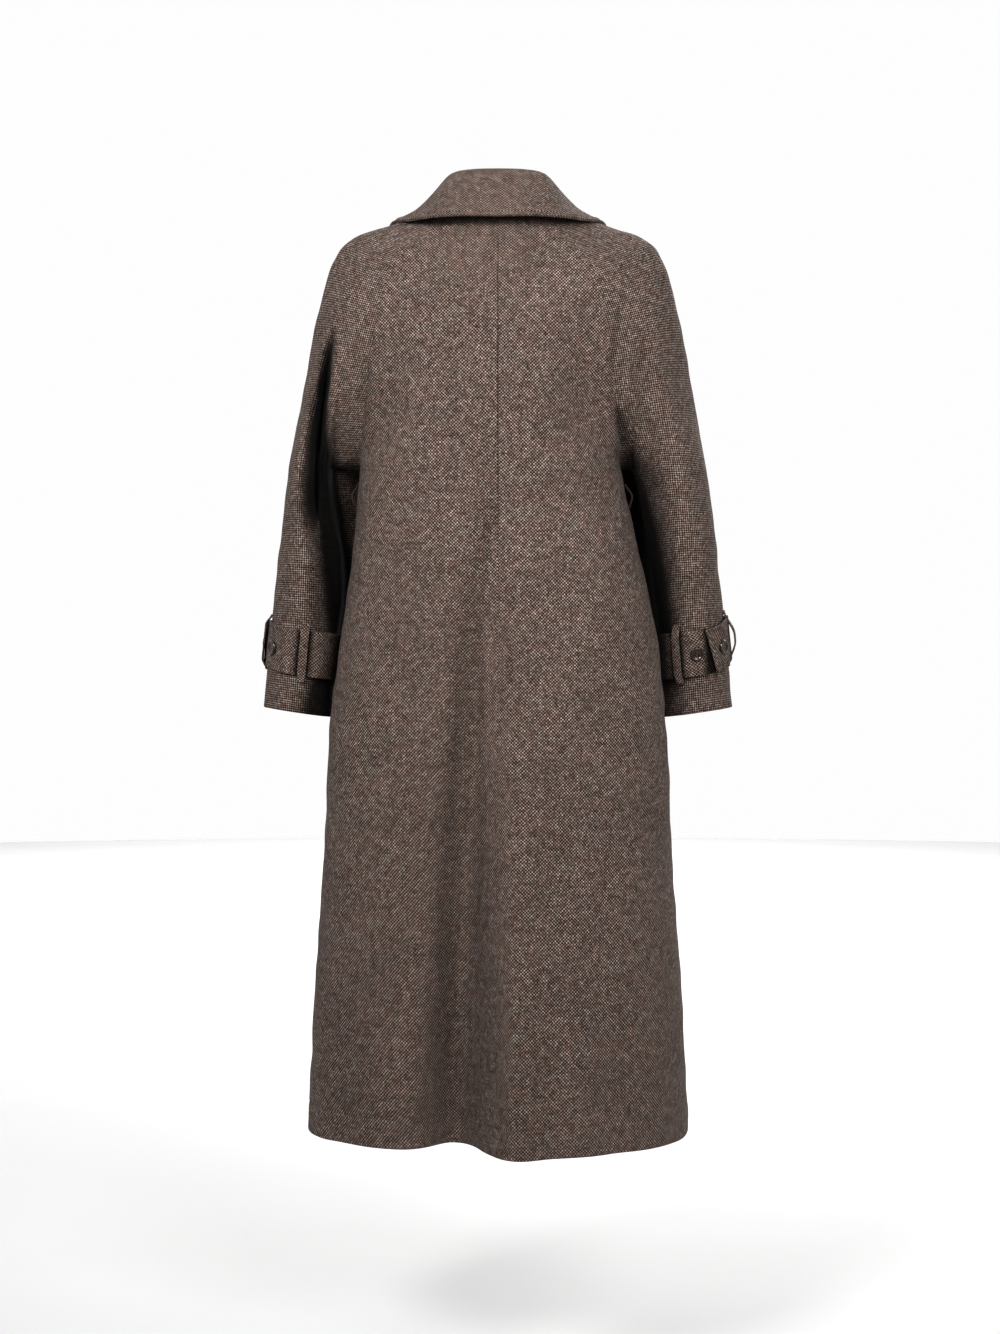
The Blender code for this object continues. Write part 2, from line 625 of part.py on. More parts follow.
def button_mesh(name, radius, height, material):
    """A dished button with a rounded rim, standing on z = 0."""
    profile = (
        (0.0, 0.0),
        (0.80, 0.0),
        (1.0, 0.40),
        (0.96, 0.82),
        (0.80, 1.0),
        (0.62, 0.72),
        (0.0, 0.62),
    )
    bm = bmesh.new()
    verts = [bm.verts.new((r * radius, 0, h * height)) for r, h in profile]
    edges = [bm.edges.new(pair) for pair in zip(verts, verts[1:])]
    bmesh.ops.spin(
        bm,
        geom=verts + edges,
        cent=(0, 0, 0),
        axis=(0, 0, 1),
        angle=2 * math.pi,
        steps=BUTTON_SIDES,
        use_merge=True,
    )
    bmesh.ops.remove_doubles(bm, verts=bm.verts, dist=MERGE)
    bmesh.ops.recalc_face_normals(bm, faces=bm.faces)
    mesh = bpy.data.meshes.new(name)
    bm.to_mesh(mesh)
    bm.free()
    mesh.shade_smooth()
    mesh.set_sharp_from_angle(angle=BUTTON_SHARP)
    mesh.materials.append(material)
    return mesh


def seat(point, normal):
    """Where a button stands: its back just off the point, facing along the normal."""
    turn = Vector(normal).to_track_quat("Z", "Y").to_matrix().to_4x4()
    return Matrix.Translation(Vector(point) + Vector(normal) * LAY_GAP) @ turn


def cloth(name, colour):
    material = bpy.data.materials.new(name)
    material.use_nodes = True
    shader = material.node_tree.nodes["Principled BSDF"]
    shader.inputs["Base Color"].default_value = (*colour, 1)
    shader.inputs["Roughness"].default_value = 0.9
    shader.inputs["Metallic"].default_value = 0.0
    return material


def horn():
    material = cloth("horn_button", (0.035, 0.02, 0.014))
    material.node_tree.nodes["Principled BSDF"].inputs["Roughness"].default_value = 0.35
    return material


def build_panels(surface, panels, coat):
    tweed = cloth("tweed", (0.14, 0.10, 0.085))
    for index, name in enumerate(panels):
        finished(name, panel_wall(surface, index), tweed, coat)


def build_cuff(side, surface, coat, tweed, button):
    """A cuff's strap, loops and buttons."""
    word = SIDE_NAMES[side]
    finished(f"cuff_strap_{word}", strap_wall(side), tweed, coat)
    cuff = CUFFS[side]
    for number, angle in enumerate(cuff.loops, 1):
        finished(f"cuff_loop_{word}_{number}", cuff_loop_wall(side, angle, surface), tweed, coat)
    on_tab = math.radians(cuff.tab_end) + TAB_BUTTON, STRAP_LIFT + 2 * STRAP_CLOTH + LAY_GAP
    spare = math.radians(cuff.spare_button), STRAP_LIFT + STRAP_CLOTH
    for number, (turn, lift) in enumerate((on_tab, spare), 1):
        angle = np.array(turn)
        point, normal = sleeve_frame(side, trim_z(0.5, angle), angle)
        placed(f"cuff_button_{word}_{number}", button, coat, seat(point + normal * lift, normal))


def build_front_buttons(surface, coat, button):
    """Buttons down the centre of the front lap."""
    tree = BVHTree.FromBMesh(surface)
    for number in range(FRONT_BUTTONS):
        z = FRONT_BUTTON_TOP_Z - number * FRONT_BUTTON_STEP
        point, normal, _, _ = tree.ray_cast(Vector((0, -1, z)), Vector((0, 1, 0)))
        placed(f"front_button_{number + 1}", button, coat, seat(point, normal))


def main():
    for obj in list(bpy.data.objects):
        bpy.data.objects.remove(obj, do_unlink=True)
    coat = bpy.data.objects.new("coat", None)
    bpy.context.scene.collection.objects.link(coat)
    panels = {
        "back_left": (LEFT, BACK),
        "back_right": (RIGHT, BACK),
        "front_left": (LEFT, FRONT),
        "front_right": (RIGHT, FRONT),
    }
    surface = coat_surface(panels)
    build_panels(surface, panels, coat)
    trim = cloth("tweed_trim", (0.13, 0.095, 0.08))
    finished("collar", collar_wall(surface), cloth("tweed_collar", (0.15, 0.11, 0.09)), coat)
    buttons = horn()
    cuff_button = button_mesh("cuff_button", CUFF_BUTTON_R, CUFF_BUTTON_H, buttons)
    front_button = button_mesh("front_button", FRONT_BUTTON_R, FRONT_BUTTON_H, buttons)
    for side in (LEFT, RIGHT):
        build_cuff(side, surface, coat, trim, cuff_button)
        finished(f"waist_loop_{SIDE_NAMES[side]}", waist_loop_wall(side), trim, coat)
    build_front_buttons(surface, coat, front_button)
    surface.free()


main()
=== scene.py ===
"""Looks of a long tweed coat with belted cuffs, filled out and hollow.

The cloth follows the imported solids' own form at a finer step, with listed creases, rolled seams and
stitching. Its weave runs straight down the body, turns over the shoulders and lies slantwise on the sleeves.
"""

import logging
import math
from collections.abc import Iterable, Sequence
from dataclasses import dataclass, field
from enum import Enum, IntEnum
from typing import NamedTuple

import bmesh
import bpy
import numpy as np
from bmesh.types import BMesh, BMFace, BMVert
from mathutils import Matrix, Vector
from mathutils.bvhtree import BVHTree


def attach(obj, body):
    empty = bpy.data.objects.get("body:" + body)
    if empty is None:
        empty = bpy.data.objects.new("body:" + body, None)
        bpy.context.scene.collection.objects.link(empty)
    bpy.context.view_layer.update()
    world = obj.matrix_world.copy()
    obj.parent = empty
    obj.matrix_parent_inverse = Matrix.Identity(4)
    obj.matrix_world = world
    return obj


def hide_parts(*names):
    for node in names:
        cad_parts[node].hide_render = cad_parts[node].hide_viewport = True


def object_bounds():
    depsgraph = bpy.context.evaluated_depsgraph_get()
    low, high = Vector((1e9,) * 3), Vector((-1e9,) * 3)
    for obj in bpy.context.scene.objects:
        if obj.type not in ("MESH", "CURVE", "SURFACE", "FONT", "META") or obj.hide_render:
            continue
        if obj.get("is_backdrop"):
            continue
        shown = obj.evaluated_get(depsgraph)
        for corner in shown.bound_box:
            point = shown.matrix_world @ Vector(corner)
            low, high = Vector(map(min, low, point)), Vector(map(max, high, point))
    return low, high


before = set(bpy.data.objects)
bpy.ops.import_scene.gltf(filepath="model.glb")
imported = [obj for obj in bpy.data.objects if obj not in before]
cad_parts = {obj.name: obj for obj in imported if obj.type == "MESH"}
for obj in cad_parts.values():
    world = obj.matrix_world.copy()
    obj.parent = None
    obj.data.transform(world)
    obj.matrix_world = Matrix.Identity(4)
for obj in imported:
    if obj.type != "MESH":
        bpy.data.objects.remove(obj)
CAD_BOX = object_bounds()

MM = 0.001
CARRIER = "root"
UV_NAME = "cloth"
SLEEVE_UV = "sleeve"
GRAIN = "sleeve_grain"
# Name of the points' painted shade: how far the cloth's colour is darkened in creases, along seams and on the
# cuff straps
PAINTED_SHADE = "painted_shade"
EDGE_MARK = "edge"
ROUND_SEGMENTS = 3
SHARP_ANGLE = math.radians(38)
RANGE_INPUTS = ("Value", "From Min", "From Max", "To Min", "To Max")
LOG = logging.getLogger("coat")

Array = np.ndarray
Pair = tuple[float, float]
Colour = tuple[float, float, float]
Point = tuple[float, float, float]
Material = bpy.types.Material
Mesh = bpy.types.Mesh
Object = bpy.types.Object
Socket = bpy.types.NodeSocket


class Sign(IntEnum):
    """A direction on the coat, as the sign of a coordinate."""

    @property
    def word(self) -> str:
        """Its name in pieces and tables."""
        return self.name.lower()


class Side(Sign):
    """The wearer's sides, as the sign of x."""

    LEFT = 1
    RIGHT = -1


class Face(Sign):
    """The coat's back and front, as the sign of y."""

    BACK = 1
    FRONT = -1


class Edge(IntEnum):
    """What a point at the edge of a panel lies on."""

    SEAM = 1
    FREE = 2


class Slot(Enum):
    """The record's material slots."""

    TWEED = "tweed"
    COLLAR = "tweed_collar"
    TRIM = "tweed_trim"
    HORN = "horn_button"


class Shoulder(NamedTuple):
    """A section above the underarm, in millimetres: the overarm line, and the middle of back and front."""

    z: float
    ridge_x: float
    ridge_y: float
    back_y: float
    back_drop: float
    front_y: float
    front_drop: float


class Body(NamedTuple):
    """A section of the body below the underarm, in millimetres."""

    z: float
    left_x: float
    right_x: float
    side_y: float
    left_back: float
    right_back: float
    front_y: float


class Sleeve(NamedTuple):
    """A section of a sleeve below the underarm, in millimetres."""

    z: float
    outer_x: float
    outer_y: float
    left_inner: float
    right_inner: float
    inner_y: float
    back: float
    front: float
    inner_drop: float


class Fold(NamedTuple):
    """A skirt fold, in millimetres: a trough where depth is positive, a ridge where it is negative."""

    top_z: float
    top_x: float
    hem_x: float
    width: float
    depth: float


class SleeveFold(NamedTuple):
    """The long trough down the back of a sleeve: angles in degrees, heights and depth in millimetres."""

    top_angle: float
    bottom_angle: float
    spread: float
    top_z: float
    mid_z: float
    bottom_z: float
    depth: float


class CollarSection(NamedTuple):
    """The collar's fold and edge, in millimetres, at a place from centre back, 0, to front point, 1."""

    place: float
    fold_x: float
    fold_y: float
    fold_z: float
    edge_x: float
    edge_y: float
    edge_z: float


class Cuff(NamedTuple):
    """A cuff's trim: angles round the sleeve in degrees, from its inside over its back to its outside.

    In millimetres, the strap rises by its rise at the outside, the tab's end stands off by its lift and each
    loop by its slack.
    """

    tab_end: float
    spare_button: float
    loops: tuple[float, ...]
    slack: tuple[float, ...]
    rise: float
    lift: float


class Crease(NamedTuple):
    """A crease drawn down a face of the coat, in millimetres: a trough, or a ridge where depth is negative.

    Its widths are those towards -x and towards +x, and it bows towards +x. Its shade is painted shade: how
    much of the cloth's colour is darkened at its bottom, standing for the light that the closed depth of a
    real fold takes. A sleeve's crease leaves the body alone.
    """

    start: Pair
    end: Pair
    bow: float
    widths: Pair
    depth: float
    shade: float = 0.0
    sleeve: bool = False


class PanelCut(NamedTuple):
    """A panel: its place on the coat, the rectangle it is cut from and the area of its cloth, in metres."""

    side: Side
    face: Face
    flat: Pair
    area: float


class Columns(NamedTuple):
    """A panel's columns: angles round the body, steps across the underarm web and angles round the sleeve.

    The shares are how far along the body's and the sleeve's round each of their columns lies.
    """

    body: Array
    web: Array
    sleeve: Array
    body_share: Array
    sleeve_share: Array


class Unevenness(NamedTuple):
    """A noise in a finish, its range of values that counts, and what that range is mapped to."""

    scale: float
    detail: float
    counts: Pair
    becomes: Pair = (0.0, 1.0)


class Light(NamedTuple):
    """A soft lamp: its place, what it points at, its size in metres, power in watts and spread in degrees."""

    name: str
    place: Point
    target: Point
    size: float
    power: float
    spread: float


def table(kind: type[NamedTuple], *rows: tuple) -> tuple:
    """A table of rows with named columns."""
    return tuple(kind(*row) for row in rows)


SHOULDERS = table(
    Shoulder,
    (20, 75, 8, 65, 6, -92, 95),
    (11, 96, 7, 75, 18, -101, 102),
    (2, 115, 6, 85, 31, -110, 108),
    (-7, 138, 4, 94, 43, -118, 112),
    (-15, 165, 2, 102, 53, -124, 115),
    (-28, 191, 0, 109, 60, -132, 114),
    (-50, 207, -2, 115, 60, -139, 106),
    (-85, 219, -5, 120, 53, -145, 90),
    (-130, 231, -9, 123, 42, -149, 70),
    (-175, 240, -13, 125, 32, -151, 52),
    (-220, 249, -17, 126, 22, -152, 34),
    (-260, 257, -22, 126, 12, -152, 18),
    (-290, 262, -26, 126, 5, -152, 7),
    (-310, 265, -29, 126, 0, -152, 0),
)
BODY = table(
    Body,
    (-310, 174, 155, -12, 126, 126, -152),
    (-360, 178, 165, -11, 127, 127, -153),
    (-430, 185, 181, -10, 129, 131, -155),
    (-530, 199, 201, -8, 133, 140, -158),
    (-627, 211, 211, -6, 138, 151, -163),
    (-780, 218, 218, -3, 147, 169, -173),
    (-930, 228, 228, -1, 156, 187, -185),
    (-1138, 239, 239, 0, 172, 213, -204),
)
SLEEVE = table(
    Sleeve,
    (-310, 265, -29, 211, 172, -14, 74, 84, 0),
    (-350, 271, -34, 208, 180, -20, 73, 80, 2),
    (-420, 280, -43, 197, 192, -31, 70, 74, 5),
    (-500, 289, -54, 202, 204, -44, 65, 68, 8),
    (-560, 296, -62, 208, 209, -54, 61, 64, 11),
    (-612, 302, -69, 212, 212, -61, 59, 61, 13),
)
FOLDS = {
    Face.BACK: table(
        Fold,
        (-340, 6, 52, 36, 58),
        (-420, -14, -27, 26, -13),
        (-520, -112, -146, 26, 8),
        (-600, 150, 190, 24, 7),
    ),
    Face.FRONT: table(
        Fold,
        (-430, 96, 122, 30, 15),
        (-520, 150, 178, 26, -8),
        (-460, -84, -104, 28, 13),
        (-560, -142, -168, 26, -9),
    ),
}
SLEEVE_FOLDS = {
    Side.LEFT: SleeveFold(76, 20, 20, -100, -330, -570, 36),
    Side.RIGHT: SleeveFold(48, 48, 24, -120, -350, -560, 17),
}
COLLAR = table(
    CollarSection,
    (0.00, 0, 50, 55, 0, 99, -11),
    (0.18, 33, 45, 55, 56, 94, -10),
    (0.36, 56, 26, 54, 103, 64, -9),
    (0.50, 62, 4, 48, 132, 10, -6),
    (0.66, 58, -30, 30, 138, -55, -34),
    (0.83, 46, -76, -12, 124, -115, -92),
    (1.00, 16, -108, -59, 82, -145, -152),
)
CUFFS = {
    Side.LEFT: Cuff(173, 137, (84, 177, 282), (1.0, 0.4, 0.4), 10, 0),
    Side.RIGHT: Cuff(108, 88, (58, 168, 278), (1.0, 5.0, 0.4), 16, 3.5),
}
PANELS = {
    "back_left": PanelCut(Side.LEFT, Face.BACK, (0.56, 1.22), 0.47),
    "back_right": PanelCut(Side.RIGHT, Face.BACK, (0.56, 1.22), 0.47),
    "front_left": PanelCut(Side.LEFT, Face.FRONT, (0.60, 1.22), 0.50),
    "front_right": PanelCut(Side.RIGHT, Face.FRONT, (0.60, 1.22), 0.50),
}

# Creases that the cloth takes from its own weight, uneven in length, depth and spacing
# Where a crease has a shade, it paints shade into the cloth's colour along its bottom
CREASES = {
    Face.BACK: table(
        Crease,
        ((152, -128), (174, -312), 2, (4, 16), 7.5),
        ((-158, -92), (-145, -262), 18, (15, 4), 6.5),
        ((-146, -236), (-160, -290), 2, (8, 5), 6.0, 0.55),
        ((-176, -130), (-200, -230), 6, (15, 14), 3.0, 0.15),
        ((-228, -300), (-248, -420), 4, (13, 13), -2.0, 0.0, True),
        ((203, -140), (232, -400), 8, (6, 13), 20, 1.0, True),
        ((228, -215), (194, -590), -3, (16, 16), 22, 1.0, True),
        ((228, -420), (222, -610), 0, (18, 18), 1.5, 0.4, True),
        ((204, -530), (236, -690), 0, (18, 28), 2, 0.85, True),
        ((-160, -280), (-206, -610), -10, (26, 20), 12, 1.0, True),
        ((-142, -284), (-208, -344), 6, (13, 13), 5, 0.45),
        ((2, -315), (56, -1132), 42, (13, 17), 6, 0.3),
        ((60, -150), (96, -420), 16, (34, 34), 1.6),
        ((-70, -200), (-104, -520), -14, (30, 30), 1.8),
        ((22, -360), (40, -640), 6, (17, 17), 2.2),
        ((15, -480), (11, -1330), 0, (19, 9), -12),
        ((52, -560), (70, -1120), -6, (18, 18), -2.4),
        ((118, -520), (134, -1000), 8, (26, 26), 2.0),
        ((-60, -560), (-76, -1080), -5, (24, 24), 2.2),
        ((-182, -520), (-214, -1000), -6, (18, 18), 3.0),
        ((196, -640), (214, -1100), 4, (14, 14), -2.6),
    ),
    Face.FRONT: table(
        Crease,
        ((60, -180), (120, -330), 12, (26, 26), 2.4),
        ((-66, -190), (-126, -320), -12, (28, 28), 2.2),
        ((60, -480), (70, -1080), -6, (22, 22), 2.6),
        ((-48, -560), (-60, -1090), 8, (20, 20), 2.2),
        ((206, -330), (238, -420), 8, (15, 15), 3.6),
        ((-200, -340), (-236, -440), -8, (15, 15), 3.2),
        ((214, -420), (256, -500), 6, (13, 13), 2.4),
        ((-216, -430), (-258, -490), -6, (13, 13), 2.8),
    ),
}

# A button's profile from the middle of its back round the rim to the middle of its dish, as shares of its
# radius and height
DISH_PROFILE = (
    (0.0, 0.0), (0.74, 0.0), (0.90, 0.10), (0.985, 0.32), (1.0, 0.52), (0.975, 0.76), (0.92, 0.93),
    (0.85, 1.0), (0.77, 0.985), (0.69, 0.88), (0.62, 0.73), (0.54, 0.66), (0.40, 0.63), (0.0, 0.62),
)


def smooth_step(t: Array) -> Array:
    """An S-curve from 0 to 1."""
    t = np.clip(t, 0, 1)
    return t * t * (3 - 2 * t)


def smoother_step(t: Array) -> Array:
    """An S-curve from 0 to 1 that also starts and ends without curving."""
    t = np.clip(t, 0, 1)
    return t**3 * (10 + t * (6 * t - 15))


def bell(offset: Array, width: float | Array) -> Array:
    """A bell curve: 1 where the offset is 0, and about a third where it is the width."""
    return np.exp(-((offset / width) ** 2))


def arch(places: Array, ramp: float) -> Array:
    """A rise from 0 to 1 and back again, over places from 0 to 1."""
    return smooth_step(places / ramp) * smooth_step((1 - places) / ramp)


def crown(fraction: Array, roundness: float | Array) -> Array:
    """How much of its depth a ring keeps at a fraction of its half width."""
    return np.clip(1 - np.abs(fraction) ** roundness, 0, 1) ** (1 / roundness)


def smooth_curve(places: Array, values: Array, wanted: Array) -> Array:
    """Reads a smooth curve.

    Args:
        places: Rising places of the curve's points.
        values: Their values.
        wanted: Places to read the curve at.

    Returns:
        The curve's values at the wanted places.
    """
    slopes = np.gradient(values, places)
    k = np.clip(np.searchsorted(places, wanted) - 1, 0, len(places) - 2)
    span = places[k + 1] - places[k]
    t = np.clip((wanted - places[k]) / span, 0, 1)
    start = (1 + 2 * t) * (1 - t) ** 2 * values[k] + t * (1 - t) ** 2 * span * slopes[k]
    end = t**2 * (3 - 2 * t) * values[k + 1] + t**2 * (t - 1) * span * slopes[k + 1]
    return start + end


def section_at(table: Sequence[tuple], column: str, height: Array) -> Array:
    """Reads a column of a section table on a smooth curve.

    Args:
        table: Sections whose first value is their height in millimetres.
        column: Name of the column.
        height: Heights in metres.

    Returns:
        The column's values, in metres.
    """
    rows = sorted(table)
    places = np.array([row[0] for row in rows], float)
    values = np.array([getattr(row, column) for row in rows], float)
    return smooth_curve(places * MM, values * MM, height)


def sections_at(table: Sequence[tuple], height: Array, *columns: str) -> list[Array]:
    """Reads several columns of a section table."""
    return [section_at(table, column, height) for column in columns]


def run_lengths(points: Array, axis: int, parts: tuple[int, ...] = (0, 1, 2)) -> Array:
    """Lengths along the lines of a grid.

    Args:
        points: A grid of points.
        axis: 0 to go down the rows, 1 to go across the columns.
        parts: Which coordinates count.

    Returns:
        Each point's distance from the line's start.
    """
    steps = np.linalg.norm(np.diff(points[..., list(parts)], axis=axis), axis=-1)
    start = np.zeros_like(np.take(points[..., 0], [0], axis=axis))
    return np.concatenate([start, np.cumsum(steps, axis=axis)], axis=axis)


def closer_at_ends(length: float, step: float, edge_steps: Sequence[float]) -> Array:
    """Places at even steps along a length, closer together at both ends.

    Args:
        length: The length.
        step: The even step.
        edge_steps: The first steps from either end.

    Returns:
        The places.
    """
    near = np.cumsum(edge_steps)
    inner_length = length - 2 * near[-1]
    inner = np.linspace(near[-1], length - near[-1], math.ceil(inner_length / step) + 1)
    return np.concatenate([[0], near[:-1], inner, length - near[:-1][::-1], [length]])


def grid_normals(points: Array) -> Array:
    """Unit normals of a grid of points, to the left of its columns as its rows go down."""
    normal = np.cross(np.gradient(points, axis=1), np.gradient(points, axis=0))
    return normal / np.linalg.norm(normal, axis=-1, keepdims=True)


def lay_grid(bm: BMesh, points: Array, flipped: bool = False) -> list[BMFace]:
    """Lays a grid of faces over points.

    Args:
        bm: The mesh that the grid joins.
        points: A grid of points.
        flipped: Whether the faces point the other way.

    Returns:
        The new faces.
    """
    rows, columns = points.shape[:2]
    first = len(bm.faces)
    made = bmesh.ops.create_grid(bm, x_segments=columns - 1, y_segments=rows - 1, size=1)
    for vert, point in zip(made["verts"], points.reshape(-1, 3)):
        vert.co = point
    bm.faces.ensure_lookup_table()
    faces = bm.faces[first:]
    if flipped:
        bmesh.ops.reverse_faces(bm, faces=faces)
    return faces


def cloth_strip(points: Array, cut: Array, shade: Array | float = 0.0) -> BMesh:
    """A strip of cloth.

    Args:
        points: A grid of points for it to follow.
        cut: The same grid as it lies in the uncut cloth, in metres.
        shade: Painted shade at each point, which darkens the cloth's colour.

    Returns:
        A mesh of one layer, with the cut as its UV map.
    """
    bm = bmesh.new()
    layer = bm.loops.layers.uv.new(UV_NAME)
    shades = bm.verts.layers.float.new(PAINTED_SHADE)
    faces = lay_grid(bm, points)
    bm.verts.index_update()
    flat = cut.reshape(-1, 2)
    for face in faces:
        for loop in face.loops:
            loop[layer].uv = flat[loop.vert.index]
    for vert, dark in zip(bm.verts, np.broadcast_to(shade, points.shape[:2]).ravel()):
        vert[shades] = dark
    bm.normal_update()
    return bm


def strip_cut(points: Array) -> Array:
    """How a strip lies in the uncut cloth: along its rows from their middle, and down its columns."""
    across = run_lengths(points, 1)
    return np.stack([across - across[:, [points.shape[1] // 2]], run_lengths(points, 0)], axis=-1)


def thickened(bm: BMesh, thickness: float, offset: float, round_edge: float) -> BMesh:
    """Gives a strip its thickness and round edges, with the weave carried round them.

    Args:
        bm: The strip.
        thickness: Thickness in metres.
        offset: 0 for half of it outside, 1 for all of it outside.
        round_edge: How much of each edge is rounded off, in metres.

    Returns:
        The strip.
    """
    layer = bm.loops.layers.uv[UV_NAME]
    for vert, normal in [(v, v.normal.copy()) for v in bm.verts]:
        vert.co += normal * thickness * (1 + offset) / 2
    upper = set(bm.verts)
    bmesh.ops.solidify(bm, geom=bm.faces[:], thickness=thickness)
    rim = []
    for face in bm.faces:
        above = [loop for loop in face.loops if loop.vert in upper]
        if len(above) != 2 or len(face.loops) != 4:
            continue
        edge = next(e for e in face.edges if e.verts[0] in upper and e.verts[1] in upper)
        over = next(f for f in edge.link_faces if f is not face)
        cut = {loop.vert: loop[layer].uv.copy() for loop in over.loops}
        a, b = (cut[v] for v in edge.verts)
        outward = (a + b) / 2 - sum(cut.values(), Vector((0, 0))) / len(cut)
        along = (b - a).normalized()
        outward = (outward - along * outward.dot(along)).normalized() * thickness
        for loop in face.loops:
            beside = loop.link_loop_next if loop.link_loop_next.vert in upper else loop.link_loop_prev
            loop[layer].uv = cut[loop.vert] if loop.vert in upper else cut[beside.vert] + outward
        rim += [e for e in face.edges if (e.verts[0] in upper) == (e.verts[1] in upper)]
    bmesh.ops.bevel(
        bm,
        geom=rim,
        offset=round_edge,
        segments=ROUND_SEGMENTS,
        profile=0.5,
        affect="EDGES",
        clamp_overlap=True,
        loop_slide=True,
    )
    return bm


def add_object(name: str, data: bpy.types.ID) -> Object:
    """Adds an object to the scene, at the origin.

    Args:
        name: Its name.
        data: Its mesh, lamp or camera.

    Returns:
        The object.
    """
    obj = bpy.data.objects.new(name, data)
    bpy.context.scene.collection.objects.link(obj)
    return obj


def smooth_object(name: str, mesh: Mesh, material: Material) -> Object:
    """Adds a smooth object.

    Args:
        name: Its name.
        mesh: Its mesh.
        material: Its material.

    Returns:
        The object.
    """
    mesh.shade_smooth()
    mesh.materials.append(material)
    return add_object(name, mesh)


def made_object(name: str, bm: BMesh, material: Material) -> Object:
    """Adds a smooth object from a mesh in the making, which it frees.

    Args:
        name: Its name.
        bm: The mesh.
        material: Its material.

    Returns:
        The object.
    """
    mesh = bpy.data.meshes.new(name)
    bm.to_mesh(mesh)
    bm.free()
    return smooth_object(name, mesh, material)


def settle(obj: Object, slot: Slot, nodes: Iterable[str] = ()) -> Object:
    """Lets a piece ride on the coat.

    Args:
        obj: The piece.
        slot: Not used.
        nodes: The solids that it stands for.

    Returns:
        The piece.
    """
    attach(obj, CARRIER)
    for node in nodes:
        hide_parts(node)
    LOG.info("built %s", obj.name)
    return obj


def cloth_piece(name: str, strip: BMesh, finish: Material, slot: Slot) -> Object:
    """Makes the cloth that stands for a solid."""
    return settle(made_object(f"{name}_cloth", strip, finish), slot, [name])


class NodeGraph:
    """A material's nodes, added and linked one by one."""

    def __init__(self, name: str) -> None:
        """Starts a material with its shader alone.

        Args:
            name: The material's name.
        """
        self.material = bpy.data.materials.new(name)
        self.material.use_nodes = True
        self.tree = self.material.node_tree
        self.shader = self.tree.nodes["Principled BSDF"]

    def node(self, kind: str, inputs: dict[str | int, object], **settings: object) -> bpy.types.Node:
        """Adds a node.

        Args:
            kind: The node's type.
            inputs: A socket to link or a value to set, by input name or number.
            settings: The node's own settings.

        Returns:
            The node.
        """
        made = self.tree.nodes.new(kind)
        for name, value in settings.items():
            setattr(made, name, value)
        for key, value in inputs.items():
            if isinstance(value, Socket):
                self.tree.links.new(value, made.inputs[key])
            else:
                made.inputs[key].default_value = value
        return made

    def math(self, operation: str, a: object, b: object = 0.0) -> Socket:
        """Works on one or two numbers."""
        return self.node("ShaderNodeMath", {0: a, 1: b}, operation=operation).outputs[0]

    def vector(self, operation: str, a: object, b: object) -> Socket:
        """Works on two vectors."""
        return self.node("ShaderNodeVectorMath", {0: a, 1: b}, operation=operation).outputs[0]

    def uv(self, name: str) -> Socket:
        """Reads one of the piece's own cuts."""
        return self.node("ShaderNodeUVMap", {}, uv_map=name).outputs["UV"]

    def attribute(self, name: str) -> Socket:
        """Reads a number that is stored on the piece's points."""
        return self.node("ShaderNodeAttribute", {}, attribute_name=name).outputs["Fac"]

    def place(self) -> Socket:
        """Reads a point's place on the piece."""
        return self.node("ShaderNodeTexCoord", {}).outputs["Object"]

    def noise(self, place: Socket, scale: float, detail: float = 2.0, output: str = "Fac") -> Socket:
        """Reads a noise pattern at a place."""
        inputs = {"Vector": place, "Scale": scale, "Detail": detail}
        return self.node("ShaderNodeTexNoise", inputs, noise_dimensions="3D").outputs[output]

    def ramp(self, value: Socket, counts: Pair, becomes: Pair = (0.0, 1.0)) -> Socket:
        """Maps a range of a value smoothly to another."""
        inputs = dict(zip(RANGE_INPUTS, (value, *counts, *becomes)))
        return self.node("ShaderNodeMapRange", inputs, interpolation_type="SMOOTHSTEP").outputs["Result"]

    def uneven(self, place: Socket, kind: Unevenness) -> Socket:
        """Reads an unevenness at a place."""
        return self.ramp(self.noise(place, kind.scale, kind.detail), kind.counts, kind.becomes)

    def mix(self, factor: Socket, a: object, b: object, kind: str = "RGBA") -> Socket:
        """Mixes two colours or vectors.

        Args:
            factor: How much of the second is in the mix.
            a: The first, as a socket or a colour.
            b: The second.
            kind: RGBA for colours, VECTOR for vectors.

        Returns:
            The mix.
        """
        made = self.node("ShaderNodeMix", {"Factor": factor}, data_type=kind)
        sockets = [s for s in made.inputs if s.type == kind and "Factor" not in s.name]
        for socket, value in zip(sockets, (a, b)):
            if isinstance(value, Socket):
                self.tree.links.new(value, socket)
            else:
                socket.default_value = (*value, 1)
        return next(s for s in made.outputs if s.type == kind)

    def scaled(self, colour: Socket, factor: Socket) -> Socket:
        """Makes a colour lighter or darker."""
        return self.node("ShaderNodeVectorMath", {0: colour, "Scale": factor}, operation="SCALE").outputs[0]

    def bump(self, height: Socket, distance: float, strength: float) -> None:
        """Raises the surface by a height."""
        made = self.node("ShaderNodeBump", {"Height": height, "Distance": distance, "Strength": strength})
        self.tree.links.new(made.outputs["Normal"], self.shader.inputs["Normal"])

    def finish(self, colour: Socket, **values: float) -> Material:
        """Links the shader's colour and sets its constant values.

        Args:
            colour: The colour.
            values: The shader's other values, by name in lower case.

        Returns:
            The material.
        """
        self.tree.links.new(colour, self.shader.inputs["Base Color"])
        for name, value in values.items():
            self.shader.inputs[name.replace("_", " ").title().replace("Ior", "IOR")].default_value = value
        return self.material


